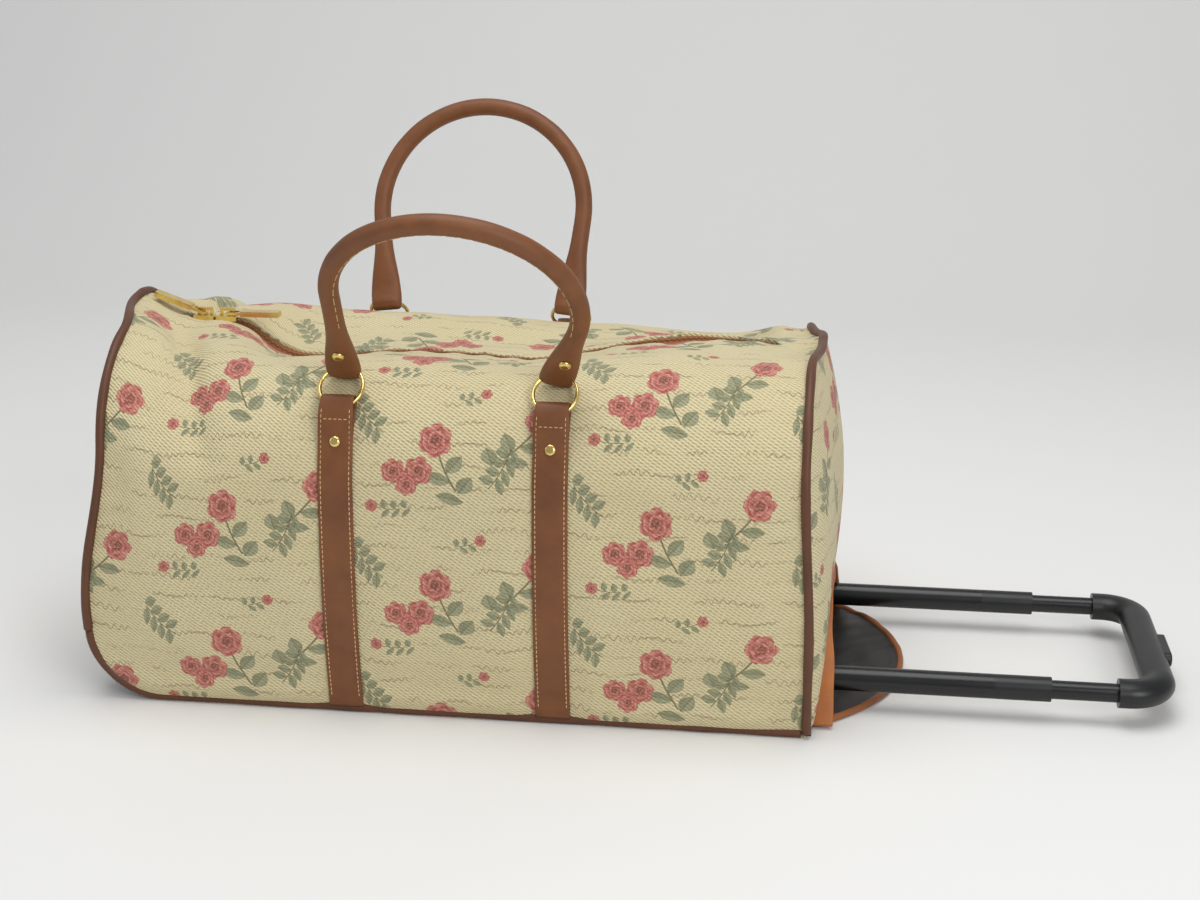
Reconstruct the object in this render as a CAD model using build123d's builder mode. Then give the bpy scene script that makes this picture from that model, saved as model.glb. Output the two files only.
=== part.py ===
from build123d import *
from math import asin, atan2, cos, hypot, radians, sin, sqrt
import os

# Wheeled carpet bag: a tapestry holdall with leather straps and two carrying handles, a zip along
# the top, two wheels in the lower corner of one end and a telescopic pull handle out of the other.
# +X runs along the bag towards the pull handle, -Y is the front, +Z is up.
# The origin is on the floor, under the middle of the bag.

# Bag body
bag_length = 530.0
bag_depth = 300.0
base_depth = 280.0
crest_height = 258.0
wheel_end_height = 276.0
handle_end_height = 264.0
flare_length = 40.0
widest_height = 120.0
shoulder_drop = 83.0
shoulder_radius = 88.0
shoulder_turn = 84.0
corner_radius = 55.0
end_seam_height = 85.0
wall = 3.0

# Piping in the seams
piping_radius = 3.2
piping_proud = 1.2
piping_inset = 3.4
cord_joint_drop = 1.0
seam_gap = 0.2
panel_gap = 0.8

# Zip along the crest
zip_length = 452.0
zip_slot_width = 16.0
zip_sink = 1.4
tape_thickness = 1.2
coil_width = 5.0
coil_height = 1.6
slider_length = 16.0
slider_width = 12.0
slider_taper = 80.0
slider_roof = 2.4
slider_clearance = 0.4
left_slider_x = -212.0
right_slider_x = -194.0
left_pull_tilt = 20.0
right_pull_tilt = 0.0
bridge_length = 12.0
bridge_width = 3.0
bridge_wall = 2.0
bridge_gap = 3.4
pull_pin_diameter = 2.2
pull_arm_length = 11.0
pull_arm_width = 1.8
pull_arm_gap = 5.4
pull_bar_length = 30.0
pull_bar_width = 9.0
pull_bar_thickness = 4.0

# Straps, rings and rivets
strap_spacing = 152.0
front_strap_middle_x = 5.0
back_strap_middle_x = -22.0
strap_width = 25.0
strap_thickness = 2.4
strap_gap = 0.2
strap_foot_height = 7.2
strap_neck_length = 11.0
strap_lap_length = 40.0
strap_lap_thickness = 1.6
loop_drop = 32.0
loop_width = 21.0
loop_leather = 1.8
loop_bore_radius = 4.5
ring_radius = 15.5
ring_wire_radius = 1.5
ring_axis_offset = 12.8
rivet_radius = 4.2
rivet_height = 2.6
rivet_round = 2.2
strap_rivet_drop = 26.0

# Carrying handles
front_handle_lean = 41.0
back_handle_lean = 20.0
front_handle_sway = 16.0
back_handle_sway = 0.0
handle_rise = 80.0
handle_arch_radius = 84.0
handle_tube_radius = 8.0
handle_leather = 1.8
tab_length = 48.0
tab_thickness = 9.0
tab_corner = 3.0
tab_start = 3.0
tab_rivet_distance = 26.0
tab_rivet_reach = 8.6

# Base board and pull handle
board_thickness = 3.0
board_depth = 262.0
board_start_x = -196.0
board_end_x = 258.0
tube_spacing = 172.0
tube_height = 24.0
outer_tube_radius = 11.0
middle_tube_radius = 9.0
inner_tube_radius = 6.8
outer_tube_wall = 1.5
tube_wall = 1.2
tube_clearance = 0.3
outer_tube_start_x = -190.0
mouth_x = 214.0
mouth_thickness = 6.0
middle_tube_length = 390.0
middle_tube_end_x = 434.0
bush_length = 40.0
bush_spigot_length = 14.0
glide_length = 6.0
stage_gap = 55.0
bracket_length = 26.0
bracket_back = 5.0
bracket_side = 6.0
bracket_cover = 3.5
bracket_edge = 2.0

# Grip at the end of the pull handle
grip_start_x = 481.0
grip_bar_x = 512.0
grip_radius = 12.0
grip_bend_radius = 24.0
grip_socket_depth = 18.0
grip_flat_share = 0.86
button_length = 46.0
button_width = 11.0
button_proud = 4.0
button_depth = 9.0
button_travel = 3.0
button_clearance = 0.3
button_edge = 1.5

# Pocket for the grip in the end panel
pocket_width = 250.0
pocket_height = 75.0
collar_depth = 14.0
collar_thickness = 2.5
lining_thickness = 1.2
flap_reach = 64.0
flap_clearance = 1.0
flap_thickness = 2.4
binding_width = 7.0
binding_thickness = 4.0

# Wheels and their housings
wheel_radius = 27.5
wheel_width = 22.0
wheel_offset = 35.5
wheel_inset = 35.0
tyre_thickness = 6.0
tyre_crown = 3.0
hub_recess = 4.0
hub_boss_radius = 8.0
hub_rim = 4.0
axle_radius = 3.0
axle_clearance = 0.05
axle_head_radius = 5.0
axle_head_height = 2.0
housing_gap = 3.0
housing_wall = 3.0
housing_side_gap = 1.5

# Reach of cuts past the body that they cut, and shares along an edge or a direction
overrun = 10.0
middle_share = 0.5
crosswise_share = 0.99

# Places that follow from the sizes above
half_length = bag_length / 2
half_depth = bag_depth / 2
half_base = base_depth / 2
side_radius = ((half_depth - half_base) ** 2 + widest_height**2) / (2 * (half_depth - half_base))
half_span = strap_spacing / 2
body_reach = 2 * bag_depth
loop_radius = loop_bore_radius + loop_leather
loop_height = crest_height - loop_drop
shoulder_z = crest_height - shoulder_drop
shoulder_tilt = asin((shoulder_z - widest_height) / side_radius)
shoulder_centre_y = half_depth - side_radius + (side_radius - shoulder_radius) * cos(shoulder_tilt)
shoulder_centre_z = widest_height + (side_radius - shoulder_radius) * sin(shoulder_tilt)
loop_angle = asin((loop_height - shoulder_centre_z) / shoulder_radius)
wheel_x = -half_length + corner_radius - wheel_offset / sqrt(2)
wheel_z = corner_radius - wheel_offset / sqrt(2)
half_wheel_spacing = half_base - wheel_inset
half_tube_spacing = tube_spacing / 2

os.makedirs("parts", exist_ok=True)


def save(piece, name):
    """Label a finished piece and write it to its own file."""
    piece.label = name
    export_step(piece, f"parts/{name}.step")


def bag_section(crest, inset=0.0):
    """Half-round cross-section of the bag, added to the sketch in hand. A negative inset grows it."""
    side_y = half_depth - inset
    start_z = crest - shoulder_drop
    start_y = side_y - side_radius + sqrt(side_radius**2 - (start_z - widest_height) ** 2)
    with BuildLine() as outline:
        side = ThreePointArc((half_base - inset, 0), (side_y, widest_height), (start_y, start_z))
        shoulder = JernArc(side @ 1, side % 1, shoulder_radius - inset, shoulder_turn)
        TangentArc(shoulder @ 1, (0, crest - inset), tangent=shoulder % 1)
        mirror(about=Plane.YZ)
        Line((inset - half_base, 0), (half_base - inset, 0))
    make_face(outline.edges())


def bag_form(inset=0.0, wheel_end=wheel_end_height, handle_end=handle_end_height):
    """The bag's section along its length: level in the middle, rising at both ends."""
    flare_x = half_length - flare_length
    with BuildPart() as form:
        with BuildSketch(Plane.YZ.offset(-flare_x)):
            bag_section(crest_height, inset)
        extrude(amount=2 * flare_x)
        for end, end_height in ((-1, wheel_end), (1, handle_end)):
            with BuildSketch(Plane.YZ.offset(end * flare_x)):
                bag_section(crest_height, inset)
            with BuildSketch(Plane.YZ.offset(end * half_length)):
                bag_section(end_height, inset)
            loft()
    return form.part


def bag_outline(inset=0.0, reach=0.0):
    """Front view of the bag as a slab: flat ends and base, one rounded lower corner."""
    with BuildPart() as slab:
        with BuildSketch(Plane.XZ):
            with Locations((inset - half_length, inset)):
                Rectangle(bag_length - 2 * inset + reach, 2 * wheel_end_height, align=(Align.MIN, Align.MIN))
            corner = vertices().sort_by(lambda v: v.X + v.Y)[0]
            fillet(corner, corner_radius - inset)
        extrude(amount=body_reach, both=True)
    return slab.part


def pocket_outline(inset=0.0, mode=Mode.ADD):
    """D-shaped opening for the grip, standing on the base of the bag, in the sketch in hand."""
    half_width = pocket_width / 2
    with BuildLine() as outline:
        ThreePointArc(
            (-half_width + inset, wall), (0, pocket_height - inset), (half_width - inset, wall)
        )
        Line((half_width - inset, wall), (-half_width + inset, wall))
    make_face(outline.edges(), mode=mode)


# Piping: a leather-covered cord in the seams round both ends and along the base
def seam_faces_of(form):
    """Faces of the form that the seams lie on."""
    with BuildPart() as seam_form:
        add(form)
        add(bag_outline(piping_inset), mode=Mode.INTERSECT)
    return seam_form.faces()


seam_faces = seam_faces_of(bag_form(-piping_proud))
handle_end_face = seam_faces.sort_by(Axis.X)[-1]
turned_form = bag_form(-piping_proud, handle_end_height, wheel_end_height)
wheel_end_face = seam_faces_of(turned_form).sort_by(Axis.X)[-1]
base_face = seam_faces.filter_by(Axis.Z).sort_by(Axis.Z)[0]
corner_face = [
    face for face in seam_faces.filter_by(GeomType.CYLINDER)
    if abs(face.radius - (corner_radius - piping_inset)) < wall
][0]


def is_crosswise(edge):
    """True for a straight edge that runs across the bag from front to back."""
    return edge.geom_type == GeomType.LINE and abs((edge % middle_share).Y) > crosswise_share


def piping_cord(seams):
    """A round cord along these seams."""
    path = Wire.combine(seams)[0]
    with BuildPart() as cord:
        with BuildSketch(Plane(path @ 0, z_dir=path % 0)):
            Circle(piping_radius)
        sweep(path=path)
    return cord.part


def seams_of(face, kept=None):
    """Edges of a face that lie in the seams; of the front or the back only, if one is named."""
    seams = [edge for edge in face.edges() if not is_crosswise(edge)]
    if kept is not None:
        seams = [edge for edge in seams if (edge @ middle_share).Y * kept > 0]
    return seams


handle_end_cord = piping_cord(seams_of(handle_end_face))
turned_wheel_cord = piping_cord(seams_of(wheel_end_face))
front_base_cord = piping_cord(seams_of(base_face, -1) + seams_of(corner_face, -1))
back_base_cord = piping_cord(seams_of(base_face, 1) + seams_of(corner_face, 1))
cord_joint = Plane.XY.offset(corner_radius - cord_joint_drop)
cord_end = Plane.YZ.offset(half_length - piping_inset - piping_radius - seam_gap)

with BuildPart() as handle_end_piping:
    add(handle_end_cord)
save(handle_end_piping.part, "handle_end_piping")

with BuildPart() as wheel_end_piping:
    add(turned_wheel_cord)
    mirror(about=Plane.YZ, mode=Mode.REPLACE)
    split(bisect_by=cord_joint, keep=Keep.TOP)
save(wheel_end_piping.part, "wheel_end_piping")

for side_name, base_cord in (("front", front_base_cord), ("back", back_base_cord)):
    with BuildPart() as base_piping:
        add(base_cord)
        split(bisect_by=cord_joint, keep=Keep.BOTTOM)
        split(bisect_by=cord_end, keep=Keep.BOTTOM)
    save(base_piping.part, f"base_piping_{side_name}")


# Front and back panels: tapestry cloth from the base seams over the shoulders to the zip
def tapestry_panel(name, kept_side):
    """One half of the cloth round the bag, with its edge of the zip opening."""
    with BuildPart() as panel:
        add(bag_form())
        add(bag_outline(piping_inset + piping_radius + seam_gap), mode=Mode.INTERSECT)
        add(bag_form(wall), mode=Mode.SUBTRACT)
        with Locations((0, 0, crest_height)):
            Box(zip_length, zip_slot_width, 2 * (wall + overrun), mode=Mode.SUBTRACT)
        split(bisect_by=Plane.XZ, keep=kept_side)
    save(panel.part, name)


tapestry_panel("front_panel", Keep.TOP)
tapestry_panel("back_panel", Keep.BOTTOM)


# Wheel housings: plastic cups in the lower corner, open towards the floor
housing_radius = wheel_radius + housing_gap + housing_wall
wheel_space = wheel_width + 2 * housing_side_gap
housing_width = wheel_space + 2 * housing_wall
wheel_planes = [
    Plane((wheel_x, side * half_wheel_spacing, wheel_z), x_dir=(1, 0, 0), z_dir=(0, 1, 0))
    for side in (-1, 1)
]
wheel_sides = list(zip(("front", "back"), wheel_planes))
for side_name, wheel_plane in wheel_sides:
    with BuildPart() as wheel_housing:
        with Locations(wheel_plane):
            Cylinder(housing_radius, housing_width)
        add(bag_outline(), mode=Mode.INTERSECT)
        with Locations(wheel_plane):
            Cylinder(wheel_radius + housing_gap, wheel_space, mode=Mode.SUBTRACT)
            Cylinder(axle_radius, housing_width, mode=Mode.SUBTRACT)
    save(wheel_housing.part, f"wheel_housing_{side_name}")

    with BuildPart() as axle:
        with Locations(wheel_plane):
            Cylinder(axle_radius, housing_width)
        for end in (-1, 1):
            with Locations(wheel_plane.offset(end * (housing_width + axle_head_height) / 2)):
                Cylinder(axle_head_radius, axle_head_height)
    save(axle.part, f"axle_{side_name}")

    with BuildPart() as hub:
        with Locations(wheel_plane):
            Cylinder(wheel_radius - tyre_thickness, wheel_width)
        for end in (-1, 1):
            with Locations(wheel_plane.offset(end * (wheel_width - hub_recess) / 2)):
                Cylinder(wheel_radius - tyre_thickness - hub_rim, hub_recess, mode=Mode.SUBTRACT)
        with Locations(wheel_plane):
            Cylinder(hub_boss_radius, wheel_width)
            Cylinder(axle_radius + axle_clearance, wheel_width, mode=Mode.SUBTRACT)
    save(hub.part, f"wheel_hub_{side_name}")

    with BuildPart() as tyre:
        with Locations(wheel_plane):
            Cylinder(wheel_radius, wheel_width)
        fillet(edges(), tyre_crown)
        with Locations(wheel_plane):
            Cylinder(wheel_radius - tyre_thickness, wheel_width, mode=Mode.SUBTRACT)
    save(tyre.part, f"wheel_tyre_{side_name}")

# Base and end panels: one strip round the ends and the base, between the two piped seams
panel_inset = piping_radius - piping_proud + panel_gap
with BuildPart() as gusset:
    add(bag_form(panel_inset))
    add(bag_outline(), mode=Mode.INTERSECT)
    add(bag_outline(wall), mode=Mode.SUBTRACT)

with BuildPart() as wheel_end_panel:
    add(gusset.part)
    split(bisect_by=Plane.YZ, keep=Keep.BOTTOM)
    split(bisect_by=Plane.XY.offset(end_seam_height), keep=Keep.TOP)
save(wheel_end_panel.part, "wheel_end_panel")

with BuildPart() as handle_end_panel:
    add(gusset.part)
    split(bisect_by=Plane.YZ, keep=Keep.TOP)
    split(bisect_by=Plane.XY.offset(wall), keep=Keep.TOP)
    with BuildSketch(Plane.YZ.offset(half_length - wall)):
        pocket_outline()
    extrude(amount=wall, mode=Mode.SUBTRACT)
save(handle_end_panel.part, "handle_end_panel")

base_half = half_base - panel_inset
seam_half = half_depth - side_radius + sqrt(side_radius**2 - (widest_height - end_seam_height) ** 2) - panel_inset
with BuildPart() as base_panel:
    with BuildSketch(Plane.YZ.offset(-half_length)):
        with BuildLine():
            Polyline(
                (-base_half, 0), (base_half, 0), (seam_half, end_seam_height), (-seam_half, end_seam_height),
                close=True,
            )
        make_face()
    extrude(amount=bag_length)
    add(bag_outline(), mode=Mode.INTERSECT)
    add(bag_outline(wall, 2 * overrun), mode=Mode.SUBTRACT)
    with Locations(*wheel_planes):
        Cylinder(housing_radius, housing_width, mode=Mode.SUBTRACT)
save(base_panel.part, "base_panel")

# Base board: stiffener on the base panel that carries the pull handle
floor_z = wall + board_thickness
with BuildPart() as base_board:
    with BuildSketch(Plane.XY.offset(wall)):
        with Locations((board_start_x, 0)):
            Rectangle(board_end_x - board_start_x, board_depth, align=(Align.MIN, Align.CENTER))
    extrude(amount=board_thickness)
save(base_board.part, "base_board")

# Pocket for the grip: leather collar in the end panel, black lining behind it, flap on the floor
with BuildPart() as pocket_collar:
    with BuildSketch(Plane.YZ.offset(half_length - wall)):
        pocket_outline()
        pocket_outline(collar_thickness, Mode.SUBTRACT)
    extrude(amount=wall + collar_depth)
save(pocket_collar.part, "pocket_collar")

with BuildPart() as pocket_lining:
    with BuildSketch(Plane.YZ.offset(mouth_x)):
        pocket_outline(-lining_thickness)
        pocket_outline(0, Mode.SUBTRACT)
        Rectangle(body_reach, 2 * floor_z, mode=Mode.SUBTRACT)
    extrude(amount=half_length - wall - mouth_x)
save(pocket_lining.part, "pocket_lining")

half_flap = pocket_width / 2 - collar_thickness - flap_clearance
with BuildPart() as pocket_flap:
    with BuildSketch():
        with BuildLine():
            flap_edge = ThreePointArc(
                (half_length, binding_width - half_flap),
                (half_length + flap_reach - binding_width, 0),
                (half_length, half_flap - binding_width),
            )
            Line(flap_edge @ 1, flap_edge @ 0)
        make_face()
    extrude(amount=flap_thickness)
save(pocket_flap.part, "pocket_flap")

with BuildPart() as flap_binding:
    with BuildSketch():
        with BuildLine():
            binding_edge = ThreePointArc(
                (half_length, -half_flap), (half_length + flap_reach, 0), (half_length, half_flap)
            )
            Line(binding_edge @ 1, binding_edge @ 0)
        make_face()
    extrude(amount=binding_thickness)
    add(pocket_flap.part, mode=Mode.SUBTRACT)
    with BuildSketch(Plane.XY.offset(flap_thickness)):
        with BuildLine():
            inner_edge = ThreePointArc(flap_edge @ 0, flap_edge @ middle_share, flap_edge @ 1)
            Line(inner_edge @ 1, inner_edge @ 0)
        make_face()
    extrude(amount=binding_thickness, mode=Mode.SUBTRACT)
save(flap_binding.part, "flap_binding")

# Pull handle: fixed tubes under the base board's bracket, two telescoping stages and a grip
def tube(name, start_x, end_x, y, radius, bore):
    """A straight round tube along the bag at the height of the pull handle."""
    with BuildPart() as pipe:
        with BuildSketch(Plane((start_x, y, tube_height), x_dir=(0, 1, 0), z_dir=(1, 0, 0))):
            Circle(radius)
            Circle(bore, mode=Mode.SUBTRACT)
        extrude(amount=end_x - start_x)
    save(pipe.part, name)


tube_sides = (("front", -half_tube_spacing), ("back", half_tube_spacing))
bush_start_x = middle_tube_end_x - bush_length
middle_start_x = middle_tube_end_x - middle_tube_length
inner_start_x = middle_start_x + bush_spigot_length + stage_gap + glide_length
grip_seat_x = grip_start_x + grip_socket_depth
for side_name, tube_y in tube_sides:
    tube(f"outer_tube_{side_name}", outer_tube_start_x, mouth_x, tube_y, outer_tube_radius,
         outer_tube_radius - outer_tube_wall)
    tube(f"middle_tube_{side_name}", middle_start_x, bush_start_x, tube_y, middle_tube_radius,
         middle_tube_radius - tube_wall)
    tube(f"inner_tube_{side_name}", inner_start_x, grip_seat_x, tube_y, inner_tube_radius,
         inner_tube_radius - tube_wall)
    bush_plane = Plane((bush_start_x, tube_y, tube_height), z_dir=(1, 0, 0))
    with BuildPart() as bush:
        with BuildSketch(bush_plane):
            Circle(middle_tube_radius)
        extrude(amount=bush_length)
        with BuildSketch(bush_plane):
            Circle(middle_tube_radius - tube_wall)
        extrude(amount=-bush_spigot_length)
        with BuildSketch(bush_plane.offset(-bush_spigot_length)):
            Circle(inner_tube_radius + tube_clearance)
        extrude(amount=bush_length + bush_spigot_length, mode=Mode.SUBTRACT)
    save(bush.part, f"middle_bush_{side_name}")

    for stage, end_x, bore, spigot in (
        ("middle", middle_start_x, outer_tube_radius - outer_tube_wall, middle_tube_radius - tube_wall),
        ("inner", inner_start_x, middle_tube_radius - tube_wall, inner_tube_radius - tube_wall),
    ):
        glide_plane = Plane((end_x, tube_y, tube_height), z_dir=(1, 0, 0))
        with BuildPart() as glide:
            with BuildSketch(glide_plane):
                Circle(bore - tube_clearance)
            extrude(amount=-glide_length)
            with BuildSketch(glide_plane):
                Circle(spigot)
            extrude(amount=bush_spigot_length)
        save(glide.part, f"{stage}_glide_{side_name}")

tube_places = [(tube_y, tube_height) for side_name, tube_y in tube_sides]
with BuildPart() as tube_bracket:
    with BuildSketch(Plane.YZ.offset(outer_tube_start_x - bracket_back)):
        with Locations((0, floor_z)):
            Rectangle(tube_spacing + 2 * (outer_tube_radius + bracket_side),
                      tube_height + outer_tube_radius + bracket_cover - floor_z,
                      align=(Align.CENTER, Align.MIN))
    extrude(amount=bracket_length)
    fillet(edges().filter_by(Axis.X).group_by(Axis.Z)[-1], bracket_edge)
    with BuildSketch(Plane.YZ.offset(outer_tube_start_x)):
        with Locations(*tube_places):
            Circle(outer_tube_radius)
    extrude(amount=bracket_length, mode=Mode.SUBTRACT)
save(tube_bracket.part, "tube_bracket")

with BuildPart() as mouth_plate:
    with BuildSketch(Plane.YZ.offset(mouth_x)):
        pocket_outline()
        Rectangle(body_reach, 2 * floor_z, mode=Mode.SUBTRACT)
        with Locations(*tube_places):
            Circle(middle_tube_radius + tube_clearance, mode=Mode.SUBTRACT)
    extrude(amount=mouth_thickness)
save(mouth_plate.part, "mouth_plate")

button_floor_x = grip_bar_x + grip_radius - button_depth
with BuildPart() as grip:
    with BuildLine():
        grip_path = FilletPolyline(
            (grip_start_x, -half_tube_spacing, tube_height),
            (grip_bar_x, -half_tube_spacing, tube_height),
            (grip_bar_x, half_tube_spacing, tube_height),
            (grip_start_x, half_tube_spacing, tube_height),
            radius=grip_bend_radius,
        )
    with BuildSketch(Plane(grip_path @ 0, x_dir=(0, 1, 0), z_dir=grip_path % 0)):
        Ellipse(grip_radius, grip_radius * grip_flat_share)
    sweep()
    with BuildSketch(Plane.YZ.offset(grip_start_x)):
        with Locations(*tube_places):
            Circle(inner_tube_radius)
    extrude(amount=grip_socket_depth, mode=Mode.SUBTRACT)
    with BuildSketch(Plane.YZ.offset(button_floor_x)):
        with Locations((0, tube_height)):
            SlotOverall(button_length + 2 * button_clearance, button_width + 2 * button_clearance)
    extrude(amount=button_depth + overrun, mode=Mode.SUBTRACT)
save(grip.part, "grip")

with BuildPart() as release_button:
    with BuildSketch(Plane.YZ.offset(button_floor_x + button_travel + button_clearance)):
        with Locations((0, tube_height)):
            SlotOverall(button_length, button_width)
    extrude(amount=button_depth + button_proud - button_travel - button_clearance)
    fillet(edges().group_by(Axis.X)[-1], button_edge)
save(release_button.part, "release_button")

# Zip: cloth tape in the slot of the crest, a row of teeth, two sliders with flat bar pulls
tape_top = crest_height - zip_sink
with BuildPart() as zip_tape:
    with Locations((0, 0, tape_top)):
        Box(zip_length, zip_slot_width, tape_thickness, align=(Align.CENTER, Align.CENTER, Align.MAX))
save(zip_tape.part, "zip_tape")

with BuildPart() as zip_teeth:
    with Locations((0, 0, tape_top)):
        Box(zip_length, coil_width, coil_height, align=(Align.CENTER, Align.CENTER, Align.MIN))
save(zip_teeth.part, "zip_teeth")

slider_foot = tape_top + slider_clearance
slider_roof_z = tape_top + coil_height + slider_clearance
slider_top = slider_roof_z + slider_roof
pull_z = slider_top + slider_clearance + pull_pin_diameter / 2
pull_width = pull_arm_gap + 2 * pull_arm_width
for side_name, slider_x, heading, pull_tilt in (
    ("left", left_slider_x, -1, radians(left_pull_tilt)),
    ("right", right_slider_x, 1, radians(right_pull_tilt)),
):
    with BuildPart() as slider:
        with BuildSketch(Plane.XY.offset(slider_foot)):
            with Locations((slider_x, 0)):
                Trapezoid(slider_length, slider_width, slider_taper)
        extrude(amount=slider_top - slider_foot)
        with Locations((slider_x, 0, slider_foot)):
            Box(2 * slider_length, coil_width + 2 * slider_clearance, slider_roof_z - slider_foot,
                align=(Align.CENTER, Align.CENTER, Align.MIN), mode=Mode.SUBTRACT)
        with BuildSketch(Plane.XZ):
            with Locations((slider_x, slider_top)):
                Rectangle(bridge_length, bridge_gap + bridge_wall, align=(Align.CENTER, Align.MIN))
                Rectangle(bridge_length - 2 * bridge_wall, bridge_gap, align=(Align.CENTER, Align.MIN),
                          mode=Mode.SUBTRACT)
        extrude(amount=bridge_width / 2, both=True)
    save(slider.part, f"slider_{side_name}")

    pull_plane = Plane(
        (slider_x, 0, pull_z),
        x_dir=(heading * cos(pull_tilt), 0, sin(pull_tilt)),
        z_dir=(-heading * sin(pull_tilt), 0, cos(pull_tilt)),
    )
    with BuildPart() as pull:
        with BuildSketch(pull_plane):
            Rectangle(pull_arm_length, pull_width, align=(Align.MIN, Align.CENTER))
            Rectangle(pull_arm_length - pull_pin_diameter, pull_arm_gap, align=(Align.MIN, Align.CENTER),
                      mode=Mode.SUBTRACT)
        extrude(amount=pull_pin_diameter / 2, both=True)
        with Locations(Plane((slider_x, 0, pull_z), z_dir=(0, 1, 0))):
            Cylinder(pull_pin_diameter / 2, pull_width)
        with BuildSketch(pull_plane):
            with Locations((pull_arm_length, 0)):
                Rectangle(pull_bar_length, pull_bar_width, align=(Align.MIN, Align.CENTER))
        extrude(amount=pull_bar_thickness / 2, both=True)
    save(pull.part, f"pull_{side_name}")


# Straps: leather strips sewn up the front and back, folded over at the top to hold a ring
def on_shoulder(angle, height):
    """A place at this angle round the shoulder of the front and this height off the cloth."""
    reach = shoulder_radius + height
    return -shoulder_centre_y - reach * cos(angle), shoulder_centre_z + reach * sin(angle)


loop_y, loop_z = on_shoulder(loop_angle, strap_gap + loop_radius)
strap_band = strap_gap + strap_thickness
lap_band = strap_band + strap_lap_thickness


def strap_layer(x, width, thickness, foot_z, top_z):
    """A strip of leather that follows the front of the bag between two heights."""
    with BuildPart() as layer:
        with BuildSketch(Plane.YZ.offset(x - width / 2)):
            bag_section(crest_height, -thickness)
            with BuildSketch(mode=Mode.SUBTRACT):
                bag_section(crest_height, -strap_gap)
            with Locations((0, foot_z)):
                Rectangle(body_reach, top_z - foot_z, align=(Align.MAX, Align.MIN), mode=Mode.INTERSECT)
        extrude(amount=width)
    return layer.part


def front_strap(x):
    """One strap with its lap and the loop for the ring."""
    neck_z = loop_height - strap_neck_length
    with BuildPart() as strap:
        add(strap_layer(x, strap_width, strap_band, strap_foot_height, neck_z))
        add(strap_layer(x, strap_width, lap_band, loop_height - strap_lap_length, neck_z))
        add(strap_layer(x, loop_width, lap_band, neck_z, loop_height))
        with Locations(Plane((x, loop_y, loop_z), z_dir=(1, 0, 0))):
            Cylinder(loop_radius, loop_width)
            Cylinder(loop_bore_radius, loop_width, mode=Mode.SUBTRACT)
    return strap.part


# Rings: round brass wire, held by the strap below and by the handle above
ring_span = 2 * ring_axis_offset
hinge_y = loop_y + ring_span * sin(loop_angle)
hinge_z = loop_z + ring_span * cos(loop_angle)
ring_normal = (0, -cos(loop_angle), sin(loop_angle))


def front_ring(x):
    """One ring, lying along the shoulder of the bag."""
    with BuildPart() as ring:
        with Locations(Plane((x, (loop_y + hinge_y) / 2, (loop_z + hinge_z) / 2), z_dir=ring_normal)):
            Torus(ring_radius, ring_wire_radius)
    return ring.part


rivet_angle = loop_angle - strap_rivet_drop / shoulder_radius
rivet_y, rivet_z = on_shoulder(rivet_angle, lap_band)


def front_rivets(middle_x):
    """One rivet through the lap of each strap of a pair."""
    with BuildPart() as rivets:
        for strap_x in (middle_x - half_span, middle_x + half_span):
            with BuildSketch(
                Plane((strap_x, rivet_y, rivet_z), z_dir=(0, -cos(rivet_angle), sin(rivet_angle)))
            ):
                Circle(rivet_radius)
            extrude(amount=rivet_height)
        fillet(edges().filter_by(GeomType.CIRCLE).group_by(Axis.Y)[0], rivet_round)
    return rivets.part


def save_on_side(piece, name, side_name):
    """Write a piece that is modelled at the front, mirrored first where it belongs at the back."""
    with BuildPart() as placed:
        add(piece)
        if side_name == "back":
            mirror(about=Plane.XZ, mode=Mode.REPLACE)
    save(placed.part, name)


for side_name, middle_x in (("front", front_strap_middle_x), ("back", back_strap_middle_x)):
    for end_name, strap_x in (("left", middle_x - half_span), ("right", middle_x + half_span)):
        save_on_side(front_strap(strap_x), f"strap_{side_name}_{end_name}", side_name)
        save_on_side(front_ring(strap_x), f"ring_{side_name}_{end_name}", side_name)

with BuildPart() as strap_rivets:
    add(front_rivets(back_strap_middle_x))
    mirror(about=Plane.XZ, mode=Mode.REPLACE)
    add(front_rivets(front_strap_middle_x))
save(strap_rivets.part, "strap_rivets")


# Carrying handles: leather tubes over a cord core, flattened at both ends and folded round a ring
def leg_heading(side, sway):
    """Direction in which one leg of a handle runs from its ring to the arch."""
    reach = sway - side * half_span
    return atan2(handle_rise, reach) - side * asin(handle_arch_radius / hypot(reach, handle_rise))


def on_leg(side, sway, distance):
    """A place on the middle line of one leg, this far from its ring."""
    heading = leg_heading(side, sway)
    return side * half_span + distance * cos(heading), distance * sin(heading)


def arch_foot(side, sway):
    """Where one leg meets the arch."""
    heading = leg_heading(side, sway)
    return (
        sway + side * handle_arch_radius * sin(heading),
        handle_rise - side * handle_arch_radius * cos(heading),
    )


def leg_plane(handle_plane, side, sway, distance):
    """Plane across one leg."""
    place = handle_plane.from_local_coords(Vector(*on_leg(side, sway, distance), 0))
    further = handle_plane.from_local_coords(Vector(*on_leg(side, sway, distance + overrun), 0))
    return Plane(place, x_dir=(1, 0, 0), z_dir=further - place)


def handle_sweep(handle_plane, sway, radius, bore=0.0):
    """The round part of a handle along its legs and arch, hollow where a bore is given."""
    with BuildPart() as swept:
        with BuildLine(handle_plane):
            left_leg = Line(on_leg(-1, sway, tab_length), arch_foot(-1, sway))
            arch = ThreePointArc(left_leg @ 1, (sway, handle_rise + handle_arch_radius), arch_foot(1, sway))
            Line(arch @ 1, on_leg(1, sway, tab_length))
        with BuildSketch(leg_plane(handle_plane, -1, sway, tab_length)):
            Circle(radius)
            if bore > 0:
                Circle(bore, mode=Mode.SUBTRACT)
        sweep()
    return swept.part


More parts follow.
